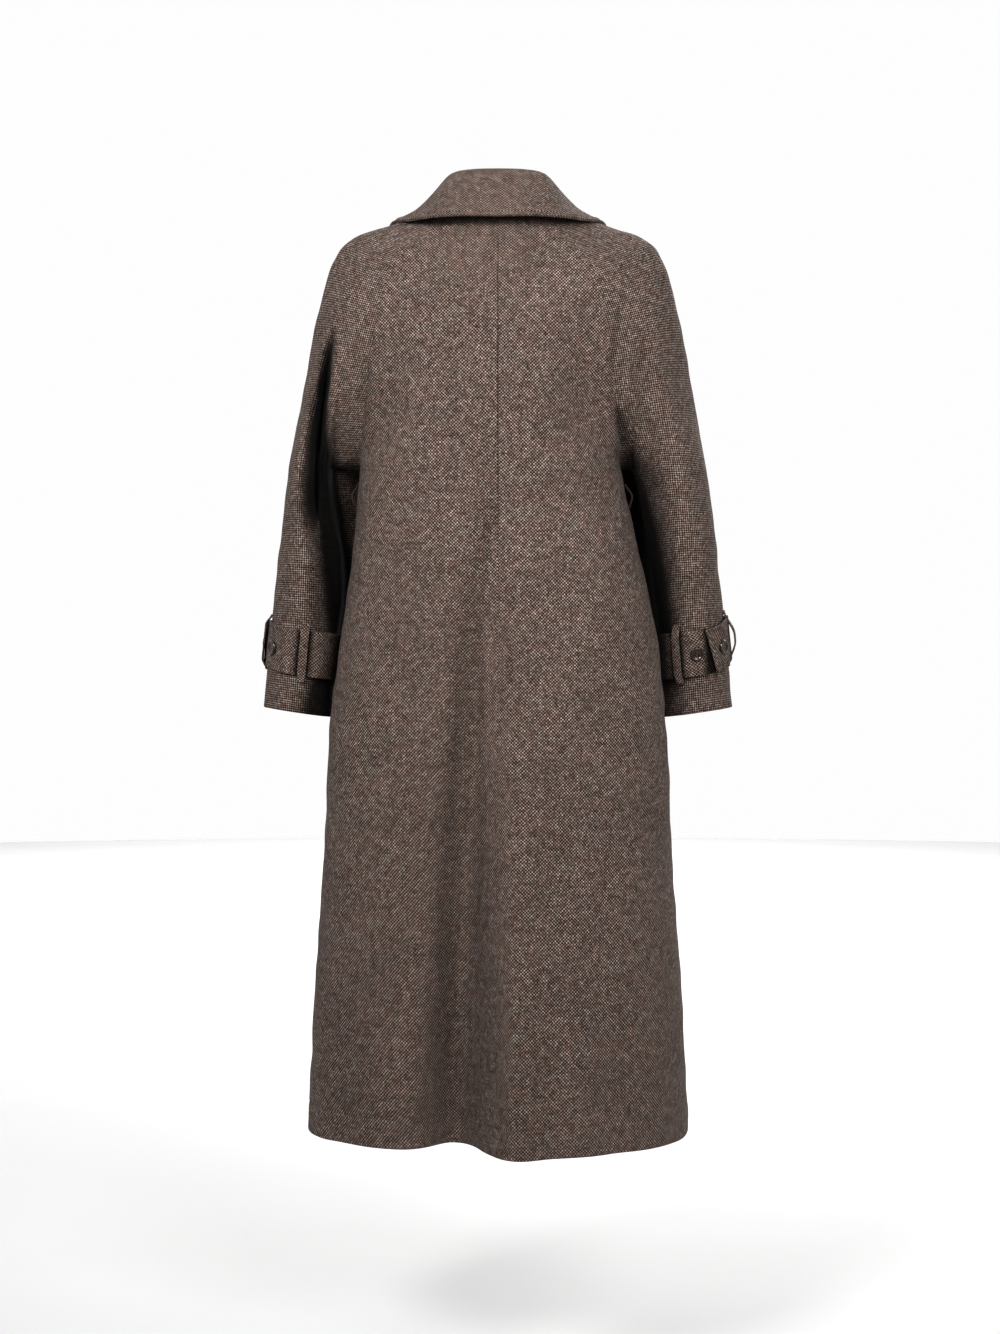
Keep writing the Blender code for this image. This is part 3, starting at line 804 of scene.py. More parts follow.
@dataclass(frozen=True)
class TweedFinish:
    """Tweed: a plain weave of cream and dark brown yarns that shows as a fine checkerboard."""

    name: str
    cell: float = 0.0020
    cream: Colour = (0.428, 0.382, 0.372)
    cream_dull: Colour = (0.230, 0.194, 0.180)
    brown: Colour = (0.013, 0.0050, 0.0026)
    brown_light: Colour = (0.052, 0.026, 0.0155)
    rose: Colour = (1.04, 0.958, 0.905)
    olive: Colour = (0.965, 0.978, 0.93)
    wander: float = 0.0011
    wander_scale: float = 130.0
    patch_scale: float = 120.0
    patch_share: float = 0.9
    yarn_along: float = 0.11
    yarn_apart: float = 1.37
    yarns: Unevenness = Unevenness(1.0, 1, (0.3, 0.72))
    yarn_edge: Pair = (-0.2, 0.32)
    flecks: Unevenness = Unevenness(310, 1, (0.32, 0.66), (0.45, 1.0))
    clumps: Unevenness = Unevenness(105, 2, (0.32, 0.68), (0.60, 1.04))
    fibres: Unevenness = Unevenness(2400, 3, (0.25, 0.75), (0.72, 1.28))
    hues: Unevenness = Unevenness(48, 2, (0.32, 0.68))
    clouds: Unevenness = Unevenness(14, 2, (0.3, 0.7), (0.93, 1.07))
    # Share of the colour kept where the painted shade is none and where it is full
    painted_shade_light: Pair = (1.0, 0.03)
    relief: float = 0.0005
    relief_strength: float = 0.7
    yarn_roundness: float = 0.6
    fibre_relief: float = 0.5
    roughness: float = 0.95
    sheen: float = 0.03
    sheen_roughness: float = 0.5
    specular: float = 0.1

    def material(self) -> Material:
        """Builds the material on the cloth's own cut.

        Returns:
            The material.
        """
        graph = NodeGraph(self.name)
        cut = self._cut(graph)
        drift = graph.noise(cut, self.wander_scale, output="Color")
        drift = graph.vector("SUBTRACT", drift, (0.5, 0.5, 0.5))
        drift = graph.vector("MULTIPLY", drift, (self.wander,) * 3)
        turns = graph.vector("MULTIPLY", graph.vector("ADD", cut, drift), (math.pi / self.cell,) * 3)
        axes = graph.node("ShaderNodeSeparateXYZ", {0: turns}).outputs
        weave = graph.math("MULTIPLY", graph.math("SINE", axes[0]), graph.math("SINE", axes[1]))
        cream = graph.mix(self._yarn(graph, axes[0], axes[1]), self.cream_dull, self.cream)
        brown = graph.mix(self._yarn(graph, axes[1], axes[0]), self.brown, self.brown_light)
        flecks = graph.math("MULTIPLY", graph.uneven(cut, self.flecks), graph.uneven(cut, self.clumps))
        shown = graph.math("MULTIPLY", graph.ramp(weave, self.yarn_edge), flecks)
        colour = graph.mix(shown, brown, cream)
        fibres = graph.noise(cut, self.fibres.scale, self.fibres.detail)
        colour = graph.scaled(colour, graph.ramp(fibres, self.fibres.counts, self.fibres.becomes))
        hue = graph.mix(graph.uneven(cut, self.hues), self.rose, self.olive)
        colour = graph.vector("MULTIPLY", colour, hue)
        colour = graph.scaled(colour, graph.uneven(cut, self.clouds))
        # Painted shade: the weave's colour is darkened where the points carry shade, in creases, along seams
        # and beside the strap's loops
        colour = graph.scaled(colour, graph.ramp(graph.attribute(PAINTED_SHADE), (0.0, 1.0), self.painted_shade_light))
        yarns = graph.math("POWER", graph.math("ABSOLUTE", weave), self.yarn_roundness)
        height = graph.math("ADD", yarns, graph.math("MULTIPLY", fibres, self.fibre_relief))
        graph.bump(height, self.relief, self.relief_strength)
        return graph.finish(
            colour,
            roughness=self.roughness,
            sheen_weight=self.sheen,
            sheen_roughness=self.sheen_roughness,
            specular_ior_level=self.specular,
        )

    def _cut(self, graph: NodeGraph) -> Socket:
        """The cloth's cut: the body's, and the sleeve's where the grain has turned, with an uneven border.

        Args:
            graph: The material's nodes.

        Returns:
            The place in the uncut cloth.
        """
        body, sleeve = graph.uv(UV_NAME), graph.uv(SLEEVE_UV)
        patches = graph.math("SUBTRACT", graph.noise(body, self.patch_scale, 1), 0.5)
        uneven = graph.math("ADD", graph.attribute(GRAIN), graph.math("MULTIPLY", patches, self.patch_share))
        return graph.mix(graph.math("GREATER_THAN", uneven, 0.5), body, sleeve, "VECTOR")

    def _yarn(self, graph: NodeGraph, along: Socket, across: Socket) -> Socket:
        """Shade of each yarn, which changes slowly along it and quickly from yarn to yarn.

        Args:
            graph: The material's nodes.
            along: Place along the yarn.
            across: Place across the yarns, a half turn each.

        Returns:
            A shade from 0 to 1.
        """
        number = graph.math("FLOOR", graph.math("DIVIDE", across, math.pi))
        x = graph.math("MULTIPLY", along, self.yarn_along)
        y = graph.math("MULTIPLY", number, self.yarn_apart)
        return graph.uneven(graph.node("ShaderNodeCombineXYZ", {"X": x, "Y": y}).outputs[0], self.yarns)


@dataclass(frozen=True)
class HornFinish:
    """Polished dark brown horn with lighter streaks and fine scratches."""

    dark: Colour = (0.010, 0.006, 0.005)
    light: Colour = (0.050, 0.027, 0.017)
    stretch: Point = (1.0, 1.0, 0.35)
    streaks: Unevenness = Unevenness(420, 3, (0.35, 0.7))
    scratch_scale: float = 3000.0
    scratch_depth: float = 0.00004
    scratch_strength: float = 0.4
    roughness: float = 0.24
    polish: float = 0.25
    polish_roughness: float = 0.12

    def material(self) -> Material:
        """Builds the material.

        Returns:
            The material.
        """
        graph = NodeGraph("horn_button")
        place = graph.place()
        streaks = graph.uneven(graph.vector("MULTIPLY", place, self.stretch), self.streaks)
        graph.bump(graph.noise(place, self.scratch_scale), self.scratch_depth, self.scratch_strength)
        return graph.finish(
            graph.mix(streaks, self.dark, self.light),
            roughness=self.roughness,
            coat_weight=self.polish,
            coat_roughness=self.polish_roughness,
        )


@dataclass(frozen=True)
class ThreadFinish:
    """Brown sewing thread with a soft twist."""

    name: str
    dark: Colour = (0.045, 0.030, 0.023)
    light: Colour = (0.125, 0.090, 0.072)
    twist: Unevenness = Unevenness(2600, 2, (0.3, 0.7))
    twist_depth: float = 0.0001
    twist_strength: float = 0.5
    roughness: float = 0.8
    sheen: float = 0.1

    def material(self) -> Material:
        """Builds the material.

        Returns:
            The material.
        """
        graph = NodeGraph(self.name)
        twist = graph.noise(graph.place(), self.twist.scale, self.twist.detail)
        graph.bump(twist, self.twist_depth, self.twist_strength)
        colour = graph.mix(graph.ramp(twist, self.twist.counts), self.dark, self.light)
        return graph.finish(colour, roughness=self.roughness, sheen_weight=self.sheen)


class Finishes:
    """The coat's materials."""

    def __init__(self) -> None:
        """Builds each material once."""
        self.tweed = TweedFinish("tweed").material()
        self.collar = TweedFinish("tweed_collar").material()
        self.trim = TweedFinish("tweed_trim").material()
        self.horn = HornFinish().material()
        self.thread = ThreadFinish("sewing_thread").material()
        loop = ThreadFinish("loop_thread", dark=(0.012, 0.008, 0.006), light=(0.040, 0.027, 0.020))
        self.loop = loop.material()


@dataclass(frozen=True)
class CoatForm:
    """The coat's outer surface, worked out from its sections, in metres."""

    neck_z: float = 0.020
    underarm_z: float = -0.310
    hem_z: float = -1.138
    cuff_z: float = -0.612
    lap: float = 0.030
    lap_ramp: Pair = (0.056, 0.090)
    lap_depth: float = 0.0038
    lap_fade: float = 3.0
    roundness: float = 2.3
    neck_roundness: float = 2.0
    pinch_top_z: float = -0.060
    pinch_growth: float = 2.2
    pinch_close: float = 0.75
    web_focus_body: float = 12.0
    web_focus_sleeve: float = 6.0
    seam_fade: float = 28.0
    tuck_behind: float = 0.012
    tuck_turn: float = math.radians(80)
    tuck_end_z: float = -0.550
    tuck_fade: float = 0.050
    trough_turn_z: float = -0.290
    step_x: float = 0.012
    step_half: float = 0.030
    fold_drift: float = 0.7
    probe_turn: float = 0.02
    probe_drop: float = 0.004

    def skirt_folds(self, face: Face, x: Array, z: Array) -> Array:
        """How far the folds of a face push its cloth inwards.

        Args:
            face: Back or front.
            x: Places across.
            z: Heights, one a row.

        Returns:
            The depth at each point.
        """
        inwards = np.zeros(np.broadcast(x, z).shape)
        for fold in FOLDS[face]:
            grown = np.clip((fold.top_z * MM - z) / (fold.top_z * MM - self.hem_z), 0, 1)
            middle = (fold.top_x + (fold.hem_x - fold.top_x) * grown**self.fold_drift) * MM
            inwards += fold.depth * MM * grown * bell(x - middle, fold.width * MM)
        return inwards

    def sleeve_fold(self, side: Side, face: Face, angle: Array, z: Array) -> Array | float:
        """How far the long trough of a sleeve pushes its back inwards.

        Args:
            side: Left or right.
            face: Back or front.
            angle: Angles from the sleeve's inside.
            z: Heights.

        Returns:
            The depth at each point.
        """
        if face == Face.FRONT:
            return 0.0
        fold = SLEEVE_FOLDS[side]
        falling = (fold.top_z * MM - z) / ((fold.top_z - fold.mid_z) * MM)
        rising = (z - fold.bottom_z * MM) / ((fold.mid_z - fold.bottom_z) * MM)
        lower = np.clip((self.trough_turn_z - z) / (self.trough_turn_z - fold.bottom_z * MM), 0, 1)
        middle = fold.top_angle + (fold.bottom_angle - fold.top_angle) * lower**2
        turn = np.degrees(angle)
        across = bell(turn - middle, fold.spread) * smooth_step(turn / self.seam_fade)
        return fold.depth * MM * smooth_step(np.minimum(falling, rising)) * across

    def sleeve_tuck(self, side: Side, face: Face, z: Array, angle: Array) -> Array | float:
        """How far the front of a sleeve reaches in behind the body, most at half of the tuck's turn.

        Args:
            side: Left or right.
            face: Back or front.
            z: Heights.
            angle: Angles from the sleeve's inside.

        Returns:
            The reach at each point.
        """
        if face == Face.BACK:
            return 0.0
        gap = section_at(SLEEVE, f"{side.word}_inner", z) - section_at(BODY, f"{side.word}_x", z)
        turned = np.clip(angle / self.tuck_turn, 0, 1)
        above_strap = smooth_step((z - self.tuck_end_z) / self.tuck_fade)
        return (gap + self.tuck_behind) * above_strap * np.sin(math.pi * turned) ** 2

    def lap_inset(self, side: Side, face: Face, x: Array, half: Array) -> Array | float:
        """How much deeper the left front lies where it passes under the right one.

        Args:
            side: Left or right.
            face: Back or front.
            x: Distances from the centre.
            half: Half the coat's width there.

        Returns:
            The depth at each point.
        """
        if face == Face.BACK or side == Side.RIGHT:
            return 0.0
        near, far = self.lap_ramp
        kept = smooth_step(self.lap_fade * (1 - x / half))
        return self.lap_depth * smooth_step((far - x) / (far - near)) * kept

    def reach(self, face: Face, angle: Array) -> Array | float:
        """How far a front's columns reach past the centre."""
        return self.lap * (1 - angle / (math.pi / 2)) ** 2 if face == Face.FRONT else 0.0

    def body_ring(self, side: Side, face: Face, z: Array, angle: Array) -> Array:
        """Points of a quarter of the body.

        Args:
            side: Left or right.
            face: Back or front.
            z: Heights, one a row.
            angle: Angles from the centre, 0, to the side seam, a quarter turn.

        Returns:
            A grid of points.
        """
        half, side_y = sections_at(BODY, z, f"{side.word}_x", "side_y")
        x = side * (half * np.sin(angle) - self.reach(face, angle))
        if face == Face.BACK:
            left, right = sections_at(BODY, z, "left_back", "right_back")
            step = smooth_step((self.step_x + self.step_half - x) / (2 * self.step_half))
            middle = left + (right - left) * step
        else:
            middle = section_at(BODY, "front_y", z)
        fade = smooth_step((90 - np.degrees(angle)) / self.seam_fade)
        inwards = self.skirt_folds(face, x, z) * fade + self.lap_inset(side, face, side * x, half)
        y = side_y + (middle - side_y) * crown(x / half, self.roundness) - face * inwards
        return np.stack(np.broadcast_arrays(x, y, z), axis=-1)

    def sleeve_ring(self, side: Side, face: Face, z: Array, angle: Array) -> Array:
        """Points of half a sleeve.

        Args:
            side: Left or right.
            face: Back or front.
            z: Heights.
            angle: Angles from the sleeve's inside, 0, to its outside, a half turn.

        Returns:
            A grid of points.
        """
        outer, inner, depth = sections_at(SLEEVE, z, "outer_x", f"{side.word}_inner", face.word)
        outer_y, inner_y, drop = sections_at(SLEEVE, z, "outer_y", "inner_y", "inner_drop")
        across = (1 - np.cos(angle)) / 2
        x = side * (inner + (outer - inner) * across - self.sleeve_tuck(side, face, z, angle))
        y = inner_y + (outer_y - inner_y) * across + face * depth * np.sin(angle)
        y = y - face * self.sleeve_fold(side, face, angle, z)
        return np.stack(np.broadcast_arrays(x, y, z - drop * (1 - across)), axis=-1)

    def shoulder_rows(self, side: Side, face: Face, z: Array, columns: Columns) -> Array:
        """Points above the underarm, where one round of chest and arms parts into body and sleeve.

        Args:
            side: Left or right.
            face: Back or front.
            z: Heights, one a row, from the neck edge down.
            columns: The panel's columns, out to the overarm line.

        Returns:
            A grid of points.
        """
        body, sleeve, web = columns.body, columns.sleeve, columns.web
        under = np.array([[self.underarm_z]])
        body_end = self.body_ring(side, face, under, body[None])[0]
        sleeve_end = self.sleeve_ring(side, face, under, sleeve[None])[0]
        sleeve_end[:, 1] += face * self.sleeve_fold(side, face, sleeve, self.underarm_z)
        tuck = side * self.sleeve_tuck(side, face, self.underarm_z, sleeve)
        sleeve_end[:, 0] += tuck
        web_end = body_end[-1] + (sleeve_end[0] - body_end[-1]) * web[:, None]
        end = np.concatenate([body_end, web_end, sleeve_end])
        ridge_x, ridge_y = sections_at(SHOULDERS, z, "ridge_x", "ridge_y")
        middle, drop = sections_at(SHOULDERS, z, f"{face.word}_y", f"{face.word}_drop")
        reach = np.zeros(len(end))
        reach[: len(body)] = self.reach(face, body)
        parted = (side * end[:, 0] + reach) / section_at(SLEEVE, "outer_x", self.underarm_z)
        near, far = parted[len(body) - 1], parted[len(body) + len(web)]
        even = [columns.body_share * near, near + (far - near) * web, far + (1 - far) * columns.sleeve_share]
        sunk = np.clip((self.pinch_top_z - z) / (self.pinch_top_z - self.underarm_z), 0, 1)
        fraction = np.concatenate(even) * (1 - sunk**2) + parted * sunk**2
        x = side * (ridge_x * fraction - reach)
        down = (self.neck_z - z) / (self.neck_z - self.underarm_z)
        roundness = self.neck_roundness + (self.roundness - self.neck_roundness) * down
        whole = ridge_y + (middle - ridge_y) * crown(x / ridge_x, roundness)
        whole = whole - face * self.lap_inset(side, face, side * x, ridge_x)
        pinched = 1 - (1 - sunk**self.pinch_growth) ** self.pinch_close
        on_body, on_sleeve = np.sin(body) ** self.web_focus_body, np.cos(sleeve / 2) ** self.web_focus_sleeve
        near_web = np.concatenate([on_body, np.ones(len(web)), on_sleeve])
        split = smoother_step(sunk) + (pinched - smoother_step(sunk)) * near_web
        y = whole + (end[:, 1] - whole) * split
        angle = np.concatenate([np.full(len(end) - len(sleeve), -math.pi), sleeve])
        y = y - face * self.sleeve_fold(side, face, angle, z)
        height = z - drop * (1 - (x / ridge_x) ** 2)
        x[:, -len(sleeve) :] -= tuck * split[:, -len(sleeve) :]
        return np.stack(np.broadcast_arrays(x, y, height), axis=-1)

    def neck_edge(self, place: Array) -> Array:
        """The left half of the neck edge.

        Args:
            place: 0 at the centre back, 0.5 at the shoulder and 1 at the front.

        Returns:
            Points of the edge.
        """
        ridge = SHOULDERS[0]
        back = place <= 0.5
        angle = np.where(back, place, 1 - place) * math.pi
        middle = np.where(back, ridge.back_y, ridge.front_y)
        drop = np.where(back, ridge.back_drop, ridge.front_drop)
        x = ridge.ridge_x * np.sin(angle)
        y = ridge.ridge_y + (middle - ridge.ridge_y) * crown(np.sin(angle), self.neck_roundness)
        return np.stack([x, y, ridge.z - drop * np.cos(angle) ** 2], axis=-1) * MM

    def round_sleeve(self, side: Side, z: Array, angle: Array) -> Array:
        """Points of a whole sleeve.

        Args:
            side: Left or right.
            z: Heights.
            angle: Any angles: 0 inside, a quarter turn at the back, a half turn outside.

        Returns:
            The points.
        """
        turn = np.mod(angle, 2 * math.pi)
        on_back = self.sleeve_ring(side, Face.BACK, z, np.minimum(turn, math.pi))
        on_front = self.sleeve_ring(side, Face.FRONT, z, np.minimum(2 * math.pi - turn, math.pi))
        return np.where((turn <= math.pi)[..., None], on_back, on_front)

    def sleeve_frame(self, side: Side, z: Array, angle: Array) -> tuple[Array, Array]:
        """Points of a sleeve with its outward normals.

        Args:
            side: Left or right.
            z: Heights.
            angle: Any angles.

        Returns:
            The points and the normals.
        """
        ahead = self.round_sleeve(side, z, angle + self.probe_turn)
        behind = self.round_sleeve(side, z, angle - self.probe_turn)
        below = self.round_sleeve(side, z - self.probe_drop, angle)
        above = self.round_sleeve(side, z + self.probe_drop, angle)
        normal = np.cross(ahead - behind, below - above) * side
        return self.round_sleeve(side, z, angle), normal / np.linalg.norm(normal, axis=-1, keepdims=True)


@dataclass
class CoatCloth:
    """The coat's whole outer surface: four panels joined at their seams, with creases in it."""

    form: CoatForm
    step: float = 0.0042
    edge_steps: tuple[float, ...] = (0.0008, 0.0012, 0.0024)
    row_clearance: float = 0.6
    web_steps: int = 7
    arc_samples: int = 721
    ridge_samples: int = 600
    hem_line: float = 0.034
    hem_groove: float = 0.0009
    hem_groove_width: float = 0.0017
    hem_groove_rows: int = 7
    body_ring_z: float = -0.72
    sleeve_ring_z: float = -0.45
    cut_apart: Pair = (1.731, 0.917)
    grain_turn: float = math.radians(45)
    grain_band: Pair = (0.080, 0.006)
    grain_band_z: Pair = (-0.050, -0.150)
    crease_steps: int = 12
    crease_taper: float = 0.55
    crease_widening: Pair = (0.75, 0.5)
    shade_spread: float = 1.6
    ripple: float = 0.0004
    ripple_lengths: tuple[float, ...] = (0.118, 0.083, 0.061, 0.047, 0.039)
    ripple_turn: float = 2.4
    ripple_lean: float = 0.4
    ripple_stretch: float = 1.9
    merge: float = 1e-5
    surface: BMesh = field(init=False)

    def __post_init__(self) -> None:
        """Joins the panels, creases them and marks their edges."""
        self.surface = bmesh.new()
        self.cuts = [self.surface.loops.layers.uv.new(name) for name in (UV_NAME, SLEEVE_UV)]
        self.grain = self.surface.verts.layers.float.new(GRAIN)
        self.shade = self.surface.verts.layers.float.new(PAINTED_SHADE)
        for index, panel in enumerate(PANELS.values()):
            self._lay_panel(index, panel)
        bmesh.ops.remove_doubles(self.surface, verts=self.surface.verts, dist=self.merge)
        self._mark_edges()
        self.surface.normal_update()
        self._crease()
        self.surface.normal_update()

    def columns(self, side: Side, face: Face) -> Columns:
        """A panel's columns, at even steps that draw together at its seams.

        Args:
            side: Left or right.
            face: Back or front.

        Returns:
            The columns.
        """
        found, shares = [], []
        for ring, z, turn in (
            (self.form.body_ring, self.body_ring_z, math.pi / 2),
            (self.form.sleeve_ring, self.sleeve_ring_z, math.pi),
        ):
            angles = np.linspace(0, turn, self.arc_samples)
            arc = run_lengths(ring(side, face, np.array([[z]]), angles[None]), 1)[0]
            places = closer_at_ends(arc[-1], self.step, self.edge_steps)
            found.append(np.interp(places, arc, angles))
            shares.append(places / arc[-1])
        web = np.linspace(0, 1, self.web_steps + 1)[1:-1]
        return Columns(found[0], web, found[1], *shares)

    def row_heights(self) -> tuple[Array, Array, Array]:
        """Heights of the rows.

        Returns:
            Those of shoulders, body and sleeves, each as a column.
        """
        form = self.form
        fine = np.linspace(form.neck_z, form.underarm_z, self.ridge_samples)
        ridge = np.stack([section_at(SHOULDERS, "ridge_x", fine), fine], axis=-1)
        arc = run_lengths(ridge[:, None], 0, (0, 1))[:, 0]
        edge = np.concatenate([[0], np.cumsum(self.edge_steps)])
        places = np.concatenate([edge[:-1], np.linspace(edge[-1], arc[-1], math.ceil(arc[-1] / self.step))])
        groove = form.hem_z + self.hem_line + self.hem_groove_width * np.linspace(-2, 2, self.hem_groove_rows)
        rows = [np.interp(places, arc, fine)]
        for bottom, extra in ((form.hem_z, groove), (form.cuff_z, np.array([]))):
            kept = np.concatenate([bottom + edge, extra])
            even = np.linspace(form.underarm_z, bottom, math.ceil((form.underarm_z - bottom) / self.step) + 1)
            clear = [z for z in even if np.abs(kept - z).min() > self.row_clearance * self.step]
            rows.append(np.sort(np.concatenate([clear, kept]))[::-1])
        return rows[0][:, None], rows[1][:, None], rows[2][:, None]

    def _lay_panel(self, index: int, panel: PanelCut) -> None:
        """Lays one panel's shoulder, body and sleeve, each with its cut.

        Args:
            index: The panel's number.
            panel: The panel.
        """
        side, face = panel.side, panel.face
        form, columns = self.form, self.columns(side, face)
        shoulder_z, body_z, sleeve_z = self.row_heights()
        shoulder = form.shoulder_rows(side, face, shoulder_z, columns)
        body = form.body_ring(side, face, body_z, columns.body[None])
        sleeve = form.sleeve_ring(side, face, sleeve_z, columns.sleeve[None])
        seam_column = len(columns.body) - 1
        first_sleeve = shoulder.shape[1] - len(columns.sleeve)
        body_cut = self._straight_cut(shoulder, -shoulder[0, :, 2])
        sleeve_cut, reached = self._sleeve_cut(shoulder, first_sleeve, 0)
        self._lay(shoulder, body_cut, sleeve_cut, self._grain_turned(shoulder, body_cut, seam_column), index)
        lower_cut = self._straight_cut(body, body_cut[-1, : seam_column + 1, 1])
        self._lay(body, lower_cut, lower_cut, np.zeros(body.shape[:2]), index)
        lower_cut, _ = self._sleeve_cut(sleeve, 0, reached)
        self._lay(sleeve, lower_cut, lower_cut, np.ones(sleeve.shape[:2]), index)

    @staticmethod
    def _straight_cut(points: Array, start: Array) -> Array:
        """How the body lies in the uncut cloth: across from its centre and straight down from a start."""
        down = start[None] + run_lengths(points, 0, (1, 2))
        return np.stack([run_lengths(points, 1, (0, 1)), down], axis=-1)

    def _sleeve_cut(self, points: Array, first: int, start: float) -> tuple[Array, float]:
        """How a sleeve lies in the uncut cloth, slantwise to its own length.

        Args:
            points: A grid of points whose last column is the overarm line.
            first: The sleeve's first column in it.
            start: Length of sleeve above the grid.

        Returns:
            The cut, and the length of sleeve down to the grid's last row.
        """
        across = run_lengths(points[:, ::-1], 1)[:, ::-1]
        down = start + run_lengths(points[:, first:], 0, (0, 2)).mean(axis=1)[:, None]
        c, s = math.cos(self.grain_turn), math.sin(self.grain_turn)
        return np.stack([c * across + s * down, c * down - s * across], axis=-1), float(down[-1, 0])

    def _grain_turned(self, points: Array, cut: Array, seam_column: int) -> Array:
        """Where the grain is the sleeve's and where it is still the body's.

        Args:
            points: A grid of points.
            cut: The grid in the uncut cloth, by the body's grain.
            seam_column: The last column of the body.

        Returns:
            1 for the sleeve's grain, 0 for the body's, and between them on the way.
        """
        high, low = self.grain_band_z
        wide, narrow = self.grain_band
        sunk = smooth_step((high - points[..., 2]) / (high - low))
        band = wide + (narrow - wide) * sunk
        away = cut[..., 0] - cut[:, [seam_column], 0]
        return smooth_step(0.5 + away / band)

    def _lay(self, points: Array, body_cut: Array, sleeve_cut: Array, grain: Array, index: int) -> None:
        """Lays a grid of a panel.

        Args:
            points: The grid's points.
            body_cut: The grid in the uncut cloth, by the body's grain.
            sleeve_cut: The same by the sleeve's grain.
            grain: Where the grain is the sleeve's.
            index: The panel's number.
        """
        panel = list(PANELS.values())[index]
        faces = lay_grid(self.surface, points, panel.side * panel.face < 0)
        self.surface.verts.index_update()
        self.surface.verts.ensure_lookup_table()
        first = len(self.surface.verts) - grain.size
        for vert, turned in zip(self.surface.verts[first:], grain.ravel()):
            vert[self.grain] = turned
        apart = np.array(self.cut_apart) * index
        tables = [cut.reshape(-1, 2) + apart for cut in (body_cut, sleeve_cut)]
        for made in faces:
            made.material_index = index
            for loop in made.loops:
                for layer, table in zip(self.cuts, tables):
                    loop[layer].uv = table[loop.vert.index - first]

    def _mark_edges(self) -> None:
        """Marks the points on seams and on free edges."""
        marks = self.surface.verts.layers.int.new(EDGE_MARK)
        for edge in self.surface.edges:
            if len(edge.link_faces) == 1:
                mark = Edge.FREE
            elif len({f.material_index for f in edge.link_faces}) > 1:
                mark = Edge.SEAM
            else:
                continue
            for vert in edge.verts:
                vert[marks] = max(vert[marks], mark.value)

    def _crease(self) -> None:
        """Presses the creases, the hem's line and a slight unevenness into the surface, and stores the
        creases' painted shade on its points.
        """
        verts = self.surface.verts
        place = np.array([v.co for v in verts])
        normal = np.array([v.normal for v in verts])
        x, z = place[:, 0], place[:, 2]
        line = self.form.hem_z + self.hem_line
        depth = self._ripple(place) + self.hem_groove * bell(z - line, self.hem_groove_width)
        moved = place - normal * depth[:, None]
        sleeve, shade = np.array([v[self.grain] for v in verts]), np.zeros(len(place))
        for face, crease in ((face, crease) for face, creases in CREASES.items() for crease in creases):
            facing = np.sqrt(np.clip(normal[:, 1] * face, 0, 1))
            share = (normal[:, 1] * face > 0) * self._crease_share(crease, x, z)
            share *= sleeve if crease.sleeve else 1
            moved[:, 1] -= face * facing * crease.depth * MM * share
            # Painted shade: flat-topped darkening along each crease's bottom
            shade = np.maximum(shade, crease.shade * np.minimum(self.shade_spread * share, 1))
        for vert, point, dark in zip(verts, moved, shade):
            vert.co = point
            vert[self.shade] = dark

    def _ripple(self, place: Array) -> Array:
        """A slight unevenness of the cloth.

        Args:
            place: Points of the surface.

        Returns:
            How far each point lies inwards.
        """
        height = np.zeros(len(place))
        for number, length in enumerate(self.ripple_lengths):
            turn = self.ripple_turn * number
            c, s = math.cos(turn), math.sin(turn)
            along = place[:, 0] * c + place[:, 2] * s + self.ripple_lean * place[:, 1]
            across = place[:, 2] * c - place[:, 0] * s
            wave = np.sin(2 * math.pi * along / length + turn)
            height += self.ripple * (wave * np.sin(2 * math.pi * across / (self.ripple_stretch * length)))
        return height

    def _crease_share(self, crease: Crease, x: Array, z: Array) -> Array:
        """Share of a crease's depth at points of its face.

        Args:
            crease: The crease.
            x: The points' x.
            z: The points' z.

        Returns:
            The shares, 1 at the middle of the crease's line.
        """
        start, end = np.array(crease.start) * MM, np.array(crease.end) * MM
        along = end - start
        across = np.array([-along[1], along[0]]) / np.linalg.norm(along)
        bend = (start + end) / 2 + across * crease.bow * MM
        t = np.linspace(0, 1, self.crease_steps + 1)[:, None]
        line = (1 - t) ** 2 * start + 2 * t * (1 - t) * bend + t**2 * end
        nearest, place, beside = np.full(len(x), np.inf), np.zeros(len(x)), np.zeros(len(x))
        for number, (a, b) in enumerate(zip(line, line[1:])):
            step = b - a
            share = np.clip(((x - a[0]) * step[0] + (z - a[1]) * step[1]) / step.dot(step), 0, 1)
            off_x, off_z = x - a[0] - share * step[0], z - a[1] - share * step[1]
            distance = np.hypot(off_x, off_z)
            closer = distance < nearest
            beside = np.where(closer, off_z * step[0] - off_x * step[1], beside)
            nearest = np.where(closer, distance, nearest)
            place = np.where(closer, (number + share) / self.crease_steps, place)
        first, more = self.crease_widening
        width = np.where(beside < 0, *crease.widths) * MM * (first + more * place)
        taper = np.sin(math.pi * np.clip(place, 0, 1)) ** self.crease_taper
        return taper * bell(nearest, width)


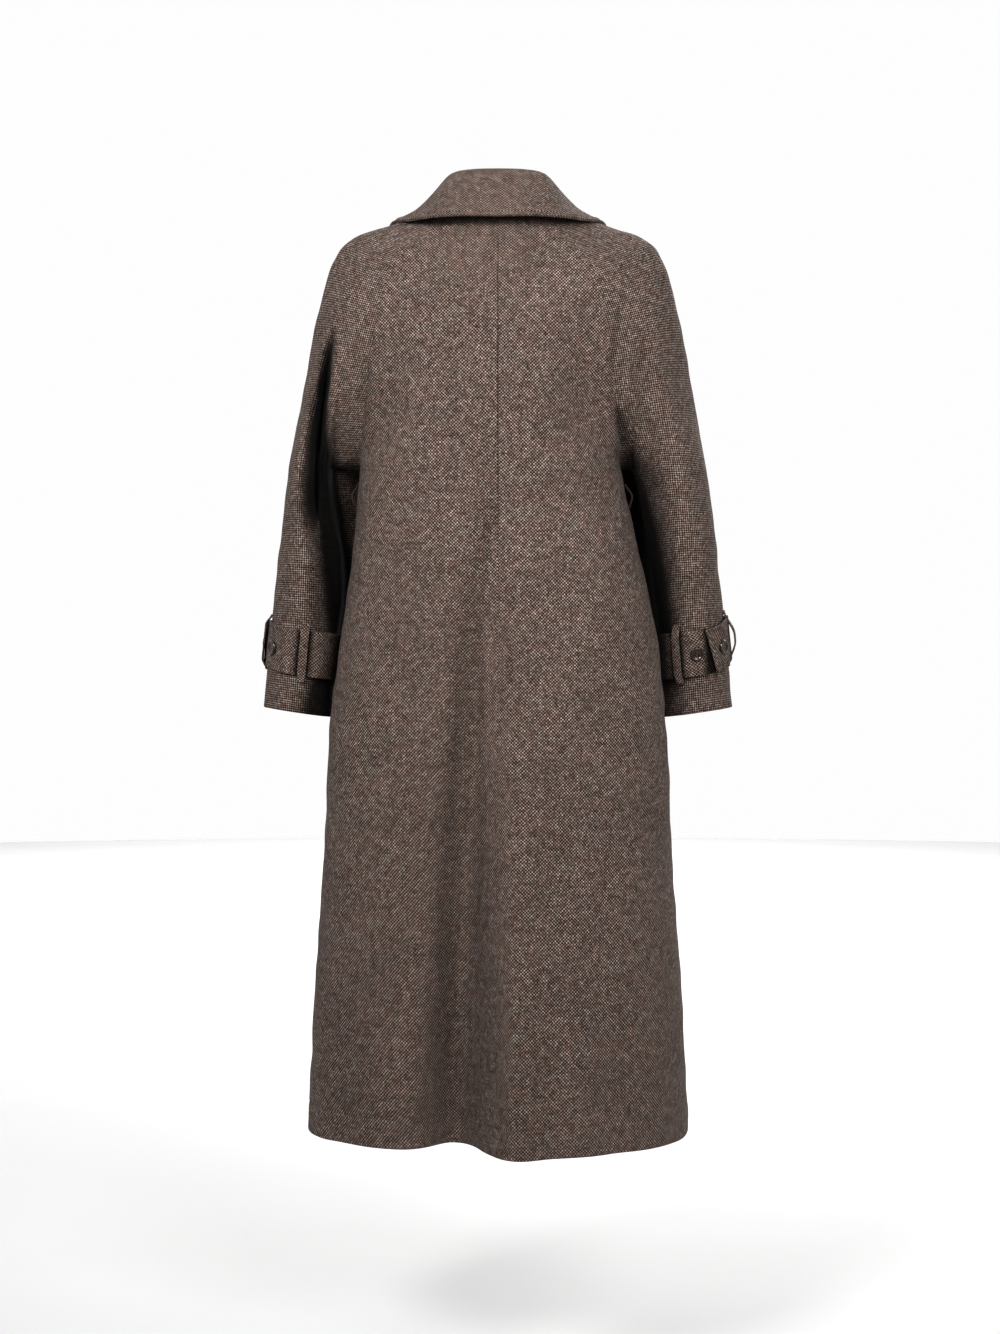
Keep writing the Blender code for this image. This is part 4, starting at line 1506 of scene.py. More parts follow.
@dataclass
class Panel:
    """A front or back, cut in one with half of its sleeve."""

    name: str
    index: int
    thickness: float = 0.0022
    seam_roll: tuple[float, ...] = (0.0012, 0.0006, 0.0002)
    seam_shade: float = 0.32
    centre_shade: float = 0.75
    pressed_reach: float = 0.008
    pressed_z: Pair = (-0.30, -0.46)
    pressed_share: float = 0.2
    edge_roll: tuple[float, ...] = (0.0008, 0.00025)

    def build(self, cloth: CoatCloth, finish: Material) -> Object:
        """Cuts the panel out of the coat's surface.

        Args:
            cloth: The coat's surface.
            finish: The tweed.

        Returns:
            The panel.
        """
        bm = cloth.surface.copy()
        others = [f for f in bm.faces if f.material_index != self.index]
        bmesh.ops.delete(bm, geom=others, context="FACES")
        marks = bm.verts.layers.int[EDGE_MARK]
        normals = {v: v.normal.copy() for v in bm.verts}
        seam = {v for v in bm.verts if v[marks] == Edge.SEAM}
        free = {v for v in bm.verts if v[marks] == Edge.FREE}
        shade = bm.verts.layers.float[PAINTED_SHADE]
        moves: dict[BMVert, Vector] = {}
        for ring, rolls in ((seam, self.seam_roll), (free, self.edge_roll)):
            for vert, depth in self._rings(ring, rolls):
                share = self._pressed(vert.co) if ring is seam else 1.0
                moves[vert] = moves.get(vert, Vector()) - normals[vert] * depth * share
                if ring is seam:
                    # Painted shade along the rolled seams, darker at the centre back
                    dark = self.centre_shade if self._centre_back(vert.co) else self.seam_shade
                    vert[shade] = max(vert[shade], dark * share * depth / self.seam_roll[0])
        for vert, move in moves.items():
            vert.co += move
        for made in bm.faces:
            made.material_index = 0
        obj = made_object(f"{self.name}_cloth", bm, finish)
        obj.modifiers.new("thickness", "SOLIDIFY").thickness = self.thickness
        return settle(obj, Slot.TWEED, [self.name])

    @staticmethod
    def _rings(ring: set[BMVert], rolls: Sequence[float]) -> Iterable[tuple[BMVert, float]]:
        """Points at an edge and on the rings next to it.

        Args:
            ring: The edge's points.
            rolls: How deep each ring is rolled, from the edge.

        Yields:
            Each point, with how deep it is rolled.
        """
        seen = set(ring)
        for depth in rolls:
            for vert in ring:
                yield vert, depth
            ring = {e.other_vert(v) for v in ring for e in v.link_edges} - seen
            seen |= ring

    def _centre_back(self, place: Vector) -> bool:
        """Whether a point is at the centre back seam."""
        return abs(place.x) <= self.pressed_reach and place.y >= 0

    def _pressed(self, place: Vector) -> float:
        """Share of a seam's roll that shows: the centre back seam is pressed flat in the skirt.

        Args:
            place: A point at the seam.

        Returns:
            The share.
        """
        if not self._centre_back(place):
            return 1.0
        high, low = self.pressed_z
        sunk = float(smooth_step(np.array((high - place.z) / (high - low))))
        return 1 - (1 - self.pressed_share) * sunk


@dataclass
class Stitching:
    """Rows of small stitches, joined into one piece."""

    name: str
    length: float = 0.0034
    gap: float = 0.0012
    radius: float = 0.00034
    flatness: float = 0.8
    sunk: float = 0.00012
    sides: int = 6
    rings: int = 4
    parts: list[Matrix] = field(default_factory=list)

    def row(self, points: Array, normals: Array) -> None:
        """Adds stitches along a line.

        Args:
            points: Points of the line, on the cloth.
            normals: The cloth's normals there.
        """
        arc = run_lengths(points[:, None], 0)[:, 0]
        for start in np.arange(self.gap, arc[-1] - self.length, self.length + self.gap):
            ends = [self._at(points, arc, place) for place in (start, start + self.length)]
            self.add(*ends, self._at(normals, arc, start + self.length / 2).normalized())

    @staticmethod
    def _at(values: Array, arc: Array, place: float) -> Vector:
        """Values read at a place along the line."""
        return Vector([np.interp(place, arc, values[:, i]) for i in range(3)])

    def add(self, start: Vector, end: Vector, up: Vector) -> None:
        """Adds a stitch.

        Args:
            start: Where it comes out of the cloth.
            end: Where it goes in.
            up: The cloth's normal.
        """
        along = end - start
        size = Matrix.Diagonal((along.length / 2, self.radius, self.radius * self.flatness, 1))
        x = along.normalized()
        y = up.cross(x).normalized()
        turn = Matrix((x, y, x.cross(y))).transposed().to_4x4()
        self.parts.append(Matrix.Translation((start + end) / 2 - up * self.sunk) @ turn @ size)

    def build(self, finish: Material, slot: Slot = Slot.TRIM) -> Object:
        """Joins copies of one stitch.

        Args:
            finish: The thread.
            slot: Passed to settle, which does not use it.

        Returns:
            The stitches.
        """
        stitch = bmesh.new()
        bmesh.ops.create_uvsphere(stitch, u_segments=self.sides, v_segments=self.rings, radius=1)
        bmesh.ops.rotate(stitch, verts=stitch.verts, matrix=Matrix.Rotation(math.pi / 2, 3, "Y"))
        stitch.verts.index_update()
        shape = np.array([(*v.co, 1) for v in stitch.verts])
        corners = [[v.index for v in f.verts] for f in stitch.faces]
        stitch.free()
        points = np.concatenate([(shape @ np.array(part).T)[:, :3] for part in self.parts])
        faces = [[i + k * len(shape) for i in face] for k in range(len(self.parts)) for face in corners]
        mesh = bpy.data.meshes.new(self.name)
        mesh.from_pydata(points.tolist(), [], faces)
        return settle(smooth_object(self.name, mesh, finish), slot)


@dataclass
class Collar:
    """The turned-down collar, with a stitched edge."""

    form: CoatForm
    thickness: float = 0.0034
    round_edge: float = 0.0014
    roll: float = 0.010
    flare: float = 0.036
    flare_rise: float = 0.012
    lift: float = 0.0006
    front: float = 0.955
    seam_gap: float = 0.0006
    stand_curve: float = 0.5
    fall_curve: float = 0.4
    flare_place: float = 0.5
    flare_spread: float = 0.2
    columns: int = 170
    stand_rows: int = 12
    fall_rows: int = 20
    curve_samples: int = 81
    free_rows: int = 8
    clear_reach: float = 3.0
    evenings: int = 10
    stitch_line: float = 0.0068
    stitch_start: int = 3
    groove: float = 0.0007
    groove_width: float = 0.0009
    edge_rows: tuple[float, ...] = (
        0, 0.0008, 0.002, 0.0036, 0.0052, 0.006, 0.0068, 0.0076, 0.0086, 0.0105, 0.0135,
    )
    end_length: float = 0.44
    flat: Pair = (0.64, 0.20)
    area: float = 0.105

    def build(self, cloth: CoatCloth, finishes: Finishes) -> None:
        """Builds the collar and its stitching.

        Args:
            cloth: The coat's surface, which the collar rests on.
            finishes: The coat's materials.
        """
        place = self._places()
        points, inset = self._grid(place, cloth)
        normals = grid_normals(points)
        off_end = (1 - np.abs(place[::-1])) * self.end_length
        inset = np.minimum(inset, off_end[None])
        line = bell(inset - self.stitch_line, self.groove_width)
        dented = points - normals * (self.groove * line)[..., None]
        strip = thickened(cloth_strip(dented, strip_cut(points)), self.thickness, 0, self.round_edge)
        obj = cloth_piece("collar", strip, finishes.collar, Slot.COLLAR)
        stitching = Stitching("collar_stitching")
        row = len(points) - 1 - self.edge_rows.index(self.stitch_line)
        column = int(np.argmin(np.abs(off_end[: len(off_end) // 2] - self.stitch_line)))
        across = slice(column, points.shape[1] - column)
        top = dented + normals * self.thickness / 2
        stitching.row(top[row, across], normals[row, across])
        down = slice(self.stand_rows + self.stitch_start, row)
        for edge in (column, points.shape[1] - 1 - column):
            stitching.row(top[down, edge], normals[down, edge])
        sewn = stitching.build(finishes.thread, Slot.COLLAR)

    def _places(self) -> Array:
        """Places of the columns.

        Returns:
            The places from one front point to the other, closer together at the ends.
        """
        ends = np.array(self.edge_rows) / self.end_length
        half = np.concatenate([1 - ends, np.linspace(1 - ends[-1], 0, self.columns // 2)[1:]])
        return np.concatenate([-half, half[::-1][1:]])

    def _grid(self, place: Array, cloth: CoatCloth) -> tuple[Array, Array]:
        """The collar's middle surface.

        Args:
            place: Places of the columns.
            cloth: The coat's surface.

        Returns:
            Points from the neck seam over the fold to the edge, and each point's distance from the edge.
        """
        mirror = np.where(place < 0, -1, 1)[:, None] * np.array([1, 0, 0]) + np.array([0, 1, 1])
        rows = np.array([section.place for section in COLLAR])
        read = [
            smooth_curve(rows, np.array([getattr(s, name) for s in COLLAR]) * MM, np.abs(place))
            for name in CollarSection._fields[1:]
        ]
        fold, edge = (np.stack(parts, axis=-1) * mirror for parts in (read[:3], read[3:]))
        seam = self.form.neck_edge(np.abs(place) * self.front) * mirror
        rise = fold - seam
        seam = seam + rise / np.linalg.norm(rise, axis=1)[:, None] * self.seam_gap
        outward = edge - seam
        outward[:, 2] = 0
        outward *= self.roll / np.linalg.norm(outward, axis=1)[:, None]
        stand = self._bend(seam, seam + rise * self.stand_curve, fold - outward, fold)
        flare = bell(np.abs(place) - self.flare_place, self.flare_spread)[:, None]
        on_shoulder = np.array([0, 0, self.flare_rise]) - outward * (self.flare / self.roll)
        back_from_edge = (fold - edge) * self.fall_curve * (1 - flare) + on_shoulder * flare
        fall = self._bend(fold, fold + outward, edge + back_from_edge, edge)
        fall = self._clear_of(fall, cloth)
        length = run_lengths(fall, 0)[-1]
        near_edge = np.array(self.edge_rows)[::-1, None]
        far = np.linspace(0, 1, self.fall_rows + 1)[:-1, None] * (length - near_edge[0])
        fall_places = np.concatenate([far, length - near_edge])
        stand_length = run_lengths(stand, 0)[-1]
        stand_places = np.linspace(0, 1, self.stand_rows + 1)[:-1, None] * stand_length
        points = np.concatenate([self._read(stand, stand_places), self._read(fall, fall_places)])
        inset = np.concatenate([np.ones(stand_places.shape), length - fall_places])
        return points[:, ::-1], inset[:, ::-1]

    def _bend(self, a: Array, b: Array, c: Array, d: Array) -> Array:
        """Points along the curves that leave a towards b and reach d from c."""
        t = np.linspace(0, 1, self.curve_samples)[:, None, None]
        return (1 - t) ** 3 * a + 3 * t * (1 - t) ** 2 * b + 3 * t**2 * (1 - t) * c + t**3 * d

    @staticmethod
    def _read(curves: Array, places: Array) -> Array:
        """Points along curves.

        Args:
            curves: The curves' points, a curve in each column.
            places: Places along each curve.

        Returns:
            The points at the places.
        """
        arc = run_lengths(curves, 0)
        points = np.empty((*places.shape, 3))
        for column, wanted in enumerate(places.T):
            for axis in range(3):
                points[:, column, axis] = np.interp(wanted, arc[:, column], curves[:, column, axis])
        return points

    def _clear_of(self, fall: Array, cloth: CoatCloth) -> Array:
        """The falling part, moved out where it comes too near the coat and then evened.

        Args:
            fall: Its points, from the fold to the edge.
            cloth: The coat's surface.

        Returns:
            The moved points.
        """
        tree = BVHTree.FromBMesh(cloth.surface)
        clearance = self.thickness / 2 + self.lift
        push = np.zeros(fall.shape)
        for row in range(self.free_rows, fall.shape[0]):
            for column in range(fall.shape[1]):
                point = Vector(fall[row, column])
                near, normal, _, _ = tree.find_nearest(point)
                height = (point - near).dot(normal)
                reach = self.clear_reach * clearance + abs(height)
                if height < clearance and (point - near).length < reach:
                    push[row, column] = normal * (clearance - height)
        for _ in range(self.evenings):
            push[1:-1] = (push[:-2] + 2 * push[1:-1] + push[2:]) / 4
            push[:, 1:-1] = (push[:, :-2] + 2 * push[:, 1:-1] + push[:, 2:]) / 4
        return fall + push


@dataclass
class Button:
    """A dished button with a rounded rim and four sewing holes."""

    name: str
    radius: float
    height: float
    finish: Material
    sides: int = 48
    hole_ring: float = 0.26
    hole_radius: float = 0.105
    hole_sides: int = 14
    drill_length: float = 4.0
    thread_level: float = 0.66
    thread_reach: float = 1.12
    merge: float = 1e-6
    blank: Mesh = field(init=False)

    def __post_init__(self) -> None:
        """Turns the button on the z axis, standing on z = 0, and drills it."""
        bm = bmesh.new()
        verts = [bm.verts.new((r * self.radius, 0, h * self.height)) for r, h in DISH_PROFILE]
        edges = [bm.edges.new(pair) for pair in zip(verts, verts[1:])]
        bmesh.ops.spin(
            bm,
            geom=verts + edges,
            cent=(0, 0, 0),
            axis=(0, 0, 1),
            angle=2 * math.pi,
            steps=self.sides,
            use_merge=True,
        )
        bmesh.ops.remove_doubles(bm, verts=bm.verts, dist=self.merge)
        bmesh.ops.recalc_face_normals(bm, faces=bm.faces)
        turned = made_object(f"{self.name}_turned", bm, self.finish)
        drill = made_object(f"{self.name}_drill", self._drills(), self.finish)
        cut = turned.modifiers.new("holes", "BOOLEAN")
        cut.object = drill
        cut.operation = "DIFFERENCE"
        graph = bpy.context.evaluated_depsgraph_get()
        self.blank = bpy.data.meshes.new_from_object(turned.evaluated_get(graph))
        self.blank.set_sharp_from_angle(angle=SHARP_ANGLE)
        for spare in (turned, drill):
            bpy.data.objects.remove(spare, do_unlink=True)

    def _holes(self) -> list[Vector]:
        """Middles of the four holes on the button's back."""
        reach = self.hole_ring * self.radius / math.sqrt(2)
        return [Vector((reach * x, reach * y, 0)) for x, y in ((1, 1), (-1, 1), (-1, -1), (1, -1))]

    def _drills(self) -> BMesh:
        """Four pins that cut the holes.

        Returns:
            The pins.
        """
        bm = bmesh.new()
        for middle in self._holes():
            bmesh.ops.create_cone(
                bm,
                cap_ends=True,
                segments=self.hole_sides,
                radius1=self.hole_radius * self.radius,
                radius2=self.hole_radius * self.radius,
                depth=self.drill_length * self.height,
                matrix=Matrix.Translation(middle),
            )
        return bm

    def sew_on(self, name: str, point: Array, normal: Array, threads: Stitching) -> None:
        """Puts a copy of the button where its solid is, with two stitches across its dish.

        Args:
            name: The solid's name.
            point: Where the middle of its back goes.
            normal: Where it faces.
            threads: The stitches that hold the buttons.
        """
        turn = Vector(normal).to_track_quat("Z", "Y").to_matrix().to_4x4()
        place = Matrix.Translation(Vector(point)) @ turn
        bm = bmesh.new()
        bm.from_mesh(self.blank)
        bmesh.ops.transform(bm, matrix=place, verts=bm.verts)
        obj = made_object(f"{name}_horn", bm, self.finish)
        obj.data.set_sharp_from_angle(angle=SHARP_ANGLE)
        settle(obj, Slot.HORN, [name])
        level = Vector((0, 0, self.thread_level * self.height))
        a, b, c, d = (place @ (hole * self.thread_reach + level) for hole in self._holes())
        up = (place.to_3x3() @ Vector((0, 0, 1))).normalized()
        for start, end in ((a, b), (d, c)):
            threads.add(start, end, up)


@dataclass
class CuffTrim:
    """A cuff's strap, its loops and its two buttons."""

    side: Side
    form: CoatForm
    strap_top_z: float = -0.511
    strap_height: float = 0.055
    strap_rise_spread: float = math.radians(45)
    strap_cloth: float = 0.0024
    strap_round: float = 0.0008
    strap_lift: float = 0.0007
    strap_columns: int = 130
    strap_half_rows: int = 5
    overlap: float = math.radians(62)
    ramp: float = math.radians(24)
    ramp_end: float = 0.8
    lay_gap: float = 0.0004
    tab_slant: float = 0.012
    slant_start: float = 0.55
    slant_run: float = 0.4
    tab_curl: float = 0.30
    tab_shade_reach: float = 0.009
    tab_button: float = math.radians(23)
    inside_shade: float = 0.75
    inside_reach: float = math.radians(48)
    sleeve_radius: float = 0.052
    stitch_line: float = 0.006
    groove: float = 0.0006
    groove_width: float = 0.0008
    loose: float = 0.0016
    loose_phase: float = 0.7
    loop_hold: float = 0.25
    loop_shade: float = 0.92
    loop_shade_reach: float = 0.0065
    loop_width: float = 0.011
    loop_cloth: float = 0.0020
    loop_round: float = 0.0006
    loop_height: float = 0.070
    loop_rows: int = 45
    loop_columns: int = 7
    loop_ramps: Pair = (0.17, 0.45)
    loose_slack: float = 0.004
    loop_sewn_gap: float = 0.0003
    edge_rows: tuple[float, ...] = (0, 0.0008, 0.0022, 0.0038, 0.005, 0.006, 0.007, 0.0082, 0.010)
    strap_flat: Pair = (0.055, 0.43)
    loop_flat: Pair = (0.011, 0.074)

    @property
    def _cuff(self) -> Cuff:
        """The trim's places on this cuff."""
        return CUFFS[self.side]

    @property
    def _tab_end(self) -> float:
        """The angle of the tab's end."""
        return math.radians(self._cuff.tab_end)

    @property
    def _loops(self) -> list[float]:
        """The loops' angles."""
        return [math.radians(angle) for angle in self._cuff.loops]

    def build(self, cloth: CoatCloth, button: Button, finishes: Finishes, threads: Stitching) -> None:
        """Builds the strap, loops and buttons.

        Args:
            cloth: The coat's surface, which the loops are sewn to.
            button: The cuff's button.
            finishes: The coat's materials.
            threads: The stitches that hold the buttons.
        """
        self._strap(finishes)
        tree = BVHTree.FromBMesh(cloth.surface)
        for number, (angle, slack) in enumerate(zip(self._loops, self._cuff.slack), 1):
            self._loop(f"cuff_loop_{self.side.word}_{number}", angle, slack * MM, tree, finishes)
        on_tab = self._tab_end + self.tab_button, 2 * self.strap_cloth + self.lay_gap
        spare = math.radians(self._cuff.spare_button), self.strap_cloth
        for number, (turn, layers) in enumerate((on_tab, spare), 1):
            angle = np.array(turn)
            point, normal = self.form.sleeve_frame(self.side, self._trim_z(np.array(0.5), angle), angle)
            out = self.strap_lift + layers + self.lay_gap + self._looseness(angle)
            button.sew_on(f"cuff_button_{self.side.word}_{number}", point + normal * out, normal, threads)

    def _trim_z(self, down: Array, angle: Array) -> Array:
        """Heights of places on the strap: down is 0 at its top edge and 1 at its lower edge."""
        rise = self._cuff.rise * MM * bell(np.mod(angle, 2 * math.pi) - math.pi, self.strap_rise_spread)
        return self.strap_top_z + rise - self.strap_height * down

    def _looseness(self, angle: Array) -> Array:
        """How far the strap stands off the sleeve beyond its seat, which its loops keep it from."""
        free = 1 - sum(bell(self._from_loop(angle, loop), self.loop_hold) for loop in self._loops)
        return self.loose * np.clip(free, 0, 1) * (1 + np.sin(2 * angle + self.loose_phase * self.side)) / 2

    @staticmethod
    def _from_loop(angle: Array, loop: float) -> Array:
        """How far angles are from a loop's, either way round."""
        return np.abs(np.mod(angle - loop + math.pi, 2 * math.pi) - math.pi)

    def _shade(self, run: Array, angle: Array) -> Array:
        """Painted shade on the strap beside its loops, at the end of the tab and between sleeve and body.

        Args:
            run: Angles along the strap from its start.
            angle: Angles round the sleeve.

        Returns:
            The shade at each point.
        """
        shade = self.inside_shade * bell(self._from_loop(angle, 0), self.inside_reach)
        for loop in self._loops:
            beside = self._from_loop(angle, loop) * self.sleeve_radius - self.loop_width / 2
            shade = np.maximum(shade, self.loop_shade * bell(np.maximum(beside, 0), self.loop_shade_reach))
        past_tab = np.maximum(run - self.overlap, 0) * self.sleeve_radius
        return np.maximum(shade, self.loop_shade * bell(past_tab, self.tab_shade_reach))

    def _strap(self, finishes: Finishes) -> None:
        """Builds the strap: a turn round the sleeve from under the tab, then the tab over its start.

        Args:
            finishes: The coat's materials.
        """
        whole = 2 * math.pi + self.overlap
        near = np.array(self.edge_rows)
        tab = whole - near / self.sleeve_radius
        run = np.concatenate([np.linspace(0, tab[-1], self.strap_columns)[:-1], tab[::-1]])[None]
        inner = np.linspace(near[-1], self.strap_height / 2, self.strap_half_rows)[1:]
        half = np.concatenate([near, inner]) / self.strap_height
        down = np.concatenate([half, 1 - half[::-1][1:]])[:, None]
        slanted = smooth_step((run - whole + self.slant_start) / self.slant_run)
        slant = slanted * self.tab_slant * (down - 0.5) / self.sleeve_radius
        angle = self._tab_end + self.overlap - run + slant
        point, normal = self.form.sleeve_frame(self.side, self._trim_z(down, angle), angle)
        climb = (run - 2 * math.pi + self.ramp) / (self.ramp * self.ramp_end)
        raised = (self.strap_cloth + self.lay_gap) * smooth_step(climb)
        curl = smooth_step((run - whole + self.tab_curl) / self.tab_curl) ** 2
        out = self.strap_lift + raised + self._looseness(angle) + self._cuff.lift * MM * curl
        shade = self._shade(run, angle)
        from_end = (whole - run) * self.sleeve_radius
        from_edge = np.minimum(np.minimum(down, 1 - down) * self.strap_height, from_end)
        line = bell(from_edge - self.stitch_line, self.groove_width)
        base = point + normal * (out - self.groove * line)[..., None]
        cut = strip_cut(point)
        top = base + normal * self.strap_cloth
        stitching = Stitching(f"strap_stitching_{self.side.word}")
        row = self.edge_rows.index(self.stitch_line)
        column = run.shape[1] - 1 - row
        for edge in (row, len(down) - 1 - row):
            stitching.row(top[edge, :column], normal[edge, :column])
        stitching.row(top[row : len(down) - row, column], normal[row : len(down) - row, column])
        if self.side == Side.LEFT:
            base, cut, shade = base[:, ::-1], cut[:, ::-1], shade[:, ::-1]
        strip = thickened(cloth_strip(base, cut, shade), self.strap_cloth, 1, self.strap_round)
        obj = cloth_piece(f"cuff_strap_{self.side.word}", strip, finishes.trim, Slot.TRIM)
        sewn = stitching.build(finishes.thread)

    def _loop(self, name: str, angle: float, slack: float, tree: BVHTree, finishes: Finishes) -> None:
        """Builds a loop that is sewn to the sleeve above and below the strap and passes over it.

        Args:
            name: The solid's name.
            angle: Its angle round the sleeve.
            slack: How far it stands off the strap.
            tree: The coat's surface.
            finishes: The coat's materials.
        """
        doubled = 0 <= angle - self._tab_end <= self.overlap
        layers = (2 if doubled else 1) * (self.strap_cloth + self.lay_gap)
        over = self.strap_lift + layers + slack
        places = np.linspace(0, 1, self.loop_rows)
        up = arch(places, np.interp(slack, (0, self.loose_slack), self.loop_ramps))
        out = self.lay_gap + (over - self.lay_gap) * up
        down = 0.5 + self.loop_height / self.strap_height * (places[:, None] - 0.5)
        half_turn = self.loop_width / 2 / self.sleeve_radius
        angles = angle + half_turn * np.linspace(-1, 1, self.loop_columns)[None]
        point, normal = self.form.sleeve_frame(self.side, self._trim_z(down, angles), angles + 0 * down)
        base = point + normal * out[:, None, None]
        for row in (0, -1):
            for column, foot in enumerate(base[row]):
                near, away, _, _ = tree.find_nearest(Vector(foot))
                base[row, column] = near + away * self.loop_sewn_gap
        cut = strip_cut(base)
        if self.side == Side.RIGHT:
            base, cut = base[:, ::-1], cut[:, ::-1]
        strip = thickened(cloth_strip(base, cut), self.loop_cloth, 1, self.loop_round)
        cloth_piece(name, strip, finishes.trim, Slot.TRIM)


@dataclass
class WaistLoop:
    """An empty belt loop on a side seam, standing off the body."""

    side: Side
    form: CoatForm
    middle_z: float = -0.345
    height: float = 0.030
    width: float = 0.009
    stand_off: float = 0.0065
    foot: float = 0.0008
    ramp: float = 0.5
    cloth: float = 0.0020
    round_edge: float = 0.0006
    rows: int = 33
    columns: int = 5
    flat: Pair = (0.011, 0.045)

    def build(self, finishes: Finishes) -> None:
        """Builds the loop.

        Args:
            finishes: The coat's materials.
        """
        places = np.linspace(0, 1, self.rows)
        out = self.foot + (self.stand_off - self.foot) * arch(places, self.ramp)
        z = self.middle_z + self.height * (0.5 - places)
        seam = self.form.body_ring(self.side, Face.BACK, z[:, None], np.array([[math.pi / 2]]))
        across = np.linspace(1, -1, self.columns) * self.side * self.width / 2
        base = np.repeat(seam, self.columns, axis=1)
        base[..., 0] += self.side * out[:, None]
        base[..., 1] += across[None]
        strip = thickened(cloth_strip(base, strip_cut(base)), self.cloth, 1, self.round_edge)
        obj = cloth_piece(f"waist_loop_{self.side.word}", strip, finishes.loop, Slot.TRIM)


@dataclass
class FrontButtons:
    """The buttons down the middle of the front lap, and the stitching along its edge."""

    top_z: float = -0.165
    step: float = 0.132
    count: int = 5
    lay_gap: float = 0.0004
    stitch_x: float = 0.0235
    stitch_ends: Pair = (-0.115, -1.125)
    stitch_points: int = 240
    cast_from_y: float = -1.0

    def build(self, cloth: CoatCloth, button: Button, thread: Material, threads: Stitching) -> Object:
        """Builds the buttons and the stitching.

        Args:
            cloth: The coat's surface.
            button: The front's button.
            thread: The edge's thread.
            threads: The stitches that hold the buttons.

        Returns:
            The edge's stitching.
        """
        tree = BVHTree.FromBMesh(cloth.surface)
        for number in range(self.count):
            point, normal = self._front(tree, 0, self.top_z - number * self.step)
            button.sew_on(f"front_button_{number + 1}", point + normal * self.lay_gap, normal, threads)
        heights = np.linspace(*self.stitch_ends, self.stitch_points)
        line = [self._front(tree, self.stitch_x, z) for z in heights]
        stitching = Stitching("front_stitching")
        stitching.row(np.array([p for p, _ in line]), np.array([n for _, n in line]))
        return stitching.build(thread)

    def _front(self, tree: BVHTree, x: float, z: float) -> tuple[Array, Array]:
        """The front's outermost point at x and z, and its normal."""
        point, normal, _, _ = tree.ray_cast(Vector((x, self.cast_from_y, z)), Vector((0, 1, 0)))
        return np.array(point), np.array(normal)


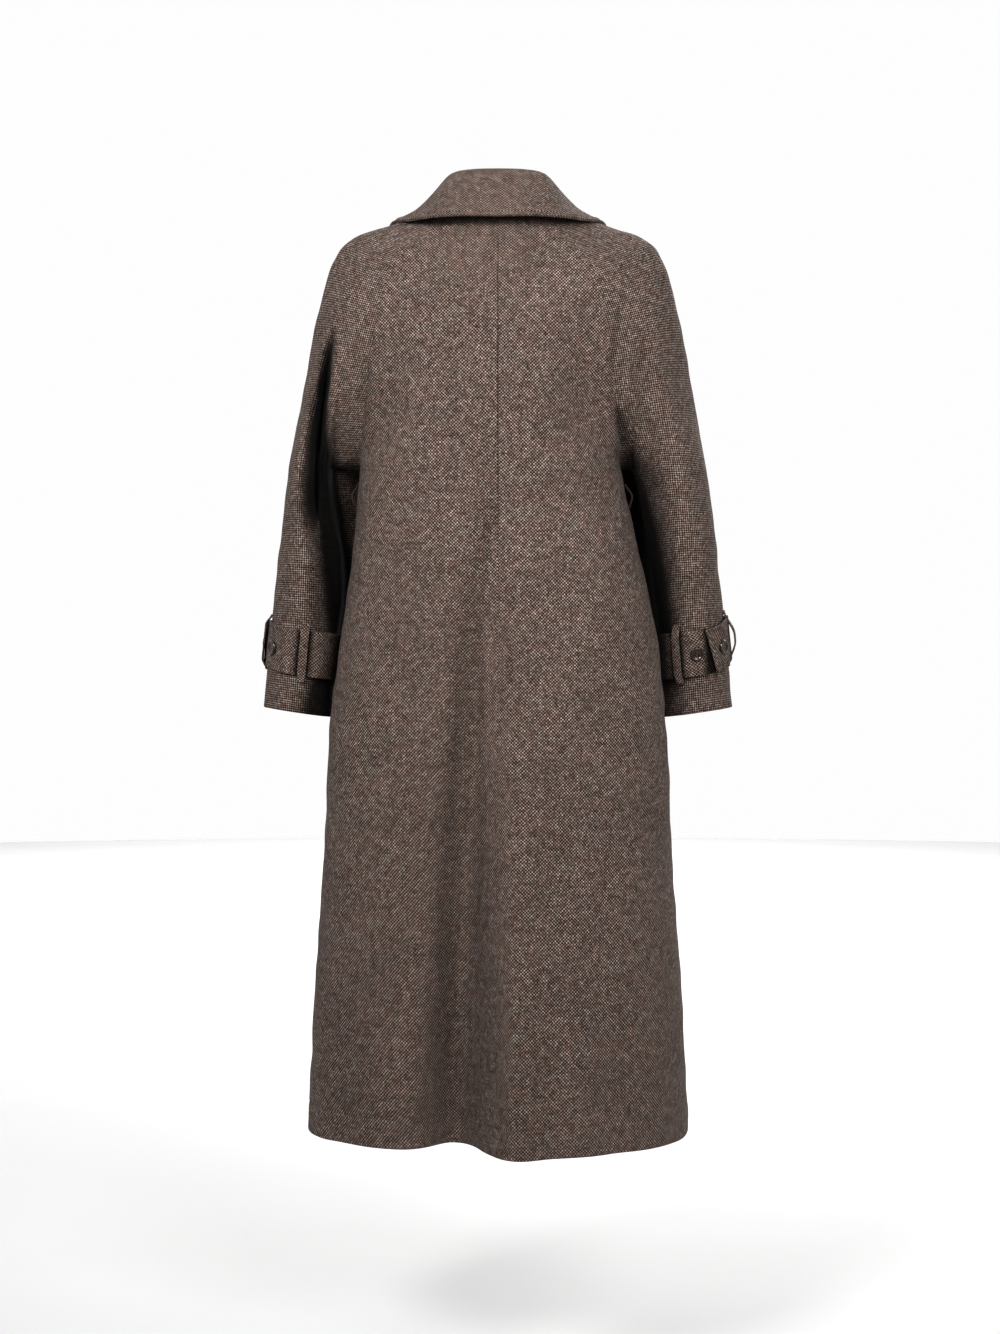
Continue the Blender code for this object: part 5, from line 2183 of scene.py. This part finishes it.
@dataclass
class Studio:
    """Camera, floor and plain soft light."""

    distance: float = 3.0
    camera_x: float = -0.0025
    camera_z: float = -0.561
    sensor: float = 36.0
    view_height: float = 1.681
    floor_z: float = -1.42
    floor_radius: float = 9.0
    floor_sides: int = 96
    floor_tones: Pair = (0.55, 0.57)
    floor_scale: float = 3.0
    floor_roughness: float = 0.9
    floor_specular: float = 0.1
    surround_y: Pair = (-0.5, 0.5)
    surround: Pair = (0.99, 0.40)
    gamma: float = 0.8
    lights: tuple[Light, ...] = (
        Light("key", (1.05, 1.80, 0.75), (0.0, 0.1, -0.26), 0.8, 11.1, 80),
        Light("fill", (-0.95, 2.35, 0.50), (-0.08, 0.0, -0.20), 1.3, 18.6, 90),
        Light("front", (-1.2, -2.6, 1.2), (0.0, 0.0, -0.4), 1.3, 80.0, 180),
        Light("floor", (0.0, -6.0, 1.5), (0.0, -6.01, -1.4), 7.0, 330.0, 180),
    )

    def build(self) -> None:
        """Sets the stage."""
        self._camera()
        self._floor()
        self._lamps()
        self._surround()

    def _camera(self) -> None:
        """A level camera behind the coat, at the photo's distance and height."""
        data = bpy.data.cameras.new("camera")
        data.sensor_width = self.sensor
        data.lens = data.sensor_width * self.distance / self.view_height
        camera = add_object("camera", data)
        camera.location = (self.camera_x, self.distance, self.camera_z)
        camera.rotation_euler = (math.pi / 2, 0, math.pi)
        bpy.context.scene.camera = camera

    def _floor(self) -> None:
        """A plain pale floor well below the coat, which hangs."""
        graph = NodeGraph("floor")
        dark, light = ((tone,) * 3 for tone in self.floor_tones)
        colour = graph.mix(graph.noise(graph.place(), self.floor_scale), dark, light)
        finish = graph.finish(colour, roughness=self.floor_roughness, specular_ior_level=self.floor_specular)
        bm = bmesh.new()
        bmesh.ops.create_circle(bm, cap_ends=True, segments=self.floor_sides, radius=self.floor_radius)
        bmesh.ops.translate(bm, verts=bm.verts, vec=(0, 0, self.floor_z))
        made_object("floor", bm, finish)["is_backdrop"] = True

    def _lamps(self) -> None:
        """Soft lamps round the coat."""
        for light in self.lights:
            data = bpy.data.lights.new(light.name, "AREA")
            data.shape = "DISK"
            data.size = light.size
            data.energy = light.power
            data.spread = math.radians(light.spread)
            lamp = add_object(light.name, data)
            lamp.location = light.place
            lamp.visible_camera = False
            towards = Vector(light.target) - Vector(light.place)
            lamp.rotation_euler = towards.to_track_quat("-Z", "Y").to_euler()

    def _surround(self) -> None:
        """A white surround that is dimmer behind the photo's camera, and the view's tones."""
        world = bpy.data.worlds.new("studio")
        world.use_nodes = True
        nodes, links = world.node_tree.nodes, world.node_tree.links
        axes = nodes.new("ShaderNodeSeparateXYZ")
        fade = nodes.new("ShaderNodeMapRange")
        for name, value in zip(RANGE_INPUTS[1:], (*self.surround_y, *self.surround)):
            fade.inputs[name].default_value = value
        links.new(nodes.new("ShaderNodeTexCoord").outputs["Generated"], axes.inputs[0])
        links.new(axes.outputs["Y"], fade.inputs["Value"])
        links.new(fade.outputs["Result"], nodes["Background"].inputs["Strength"])
        nodes["Background"].inputs["Color"].default_value = (1, 1, 1, 1)
        bpy.context.scene.world = world
        bpy.context.scene.view_settings.view_transform = "Standard"
        bpy.context.scene.view_settings.gamma = self.gamma


def write_size() -> None:
    """Works out the box of the solids and that of the dressed coat, without keeping them."""
    boxes = {"cad": CAD_BOX, "visual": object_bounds()}
    {name: [list(corner) for corner in box] for name, box in boxes.items()}


def main() -> None:
    """Builds the coat piece by piece, then the studio round it."""
    logging.basicConfig(level=logging.INFO, format="%(name)s: %(message)s")
    form, finishes = CoatForm(), Finishes()
    cloth = CoatCloth(form)
    panels = {name: Panel(name, index).build(cloth, finishes.tweed) for index, name in enumerate(PANELS)}
    Collar(form).build(cloth, finishes)
    threads = Stitching("button_threads", radius=0.0005, sunk=0.0)
    cuff_button = Button("cuff_button", radius=0.0088, height=0.0040, finish=finishes.horn)
    front_button = Button("front_button", radius=0.0125, height=0.0048, finish=finishes.horn)
    for side in Side:
        CuffTrim(side, form).build(cloth, cuff_button, finishes, threads)
        WaistLoop(side, form).build(finishes)
    edge = FrontButtons().build(cloth, front_button, finishes.thread, threads)
    threads.build(finishes.thread, Slot.HORN)
    cloth.surface.free()
    Studio().build()
    write_size()


if __name__ == "__main__":
    main()
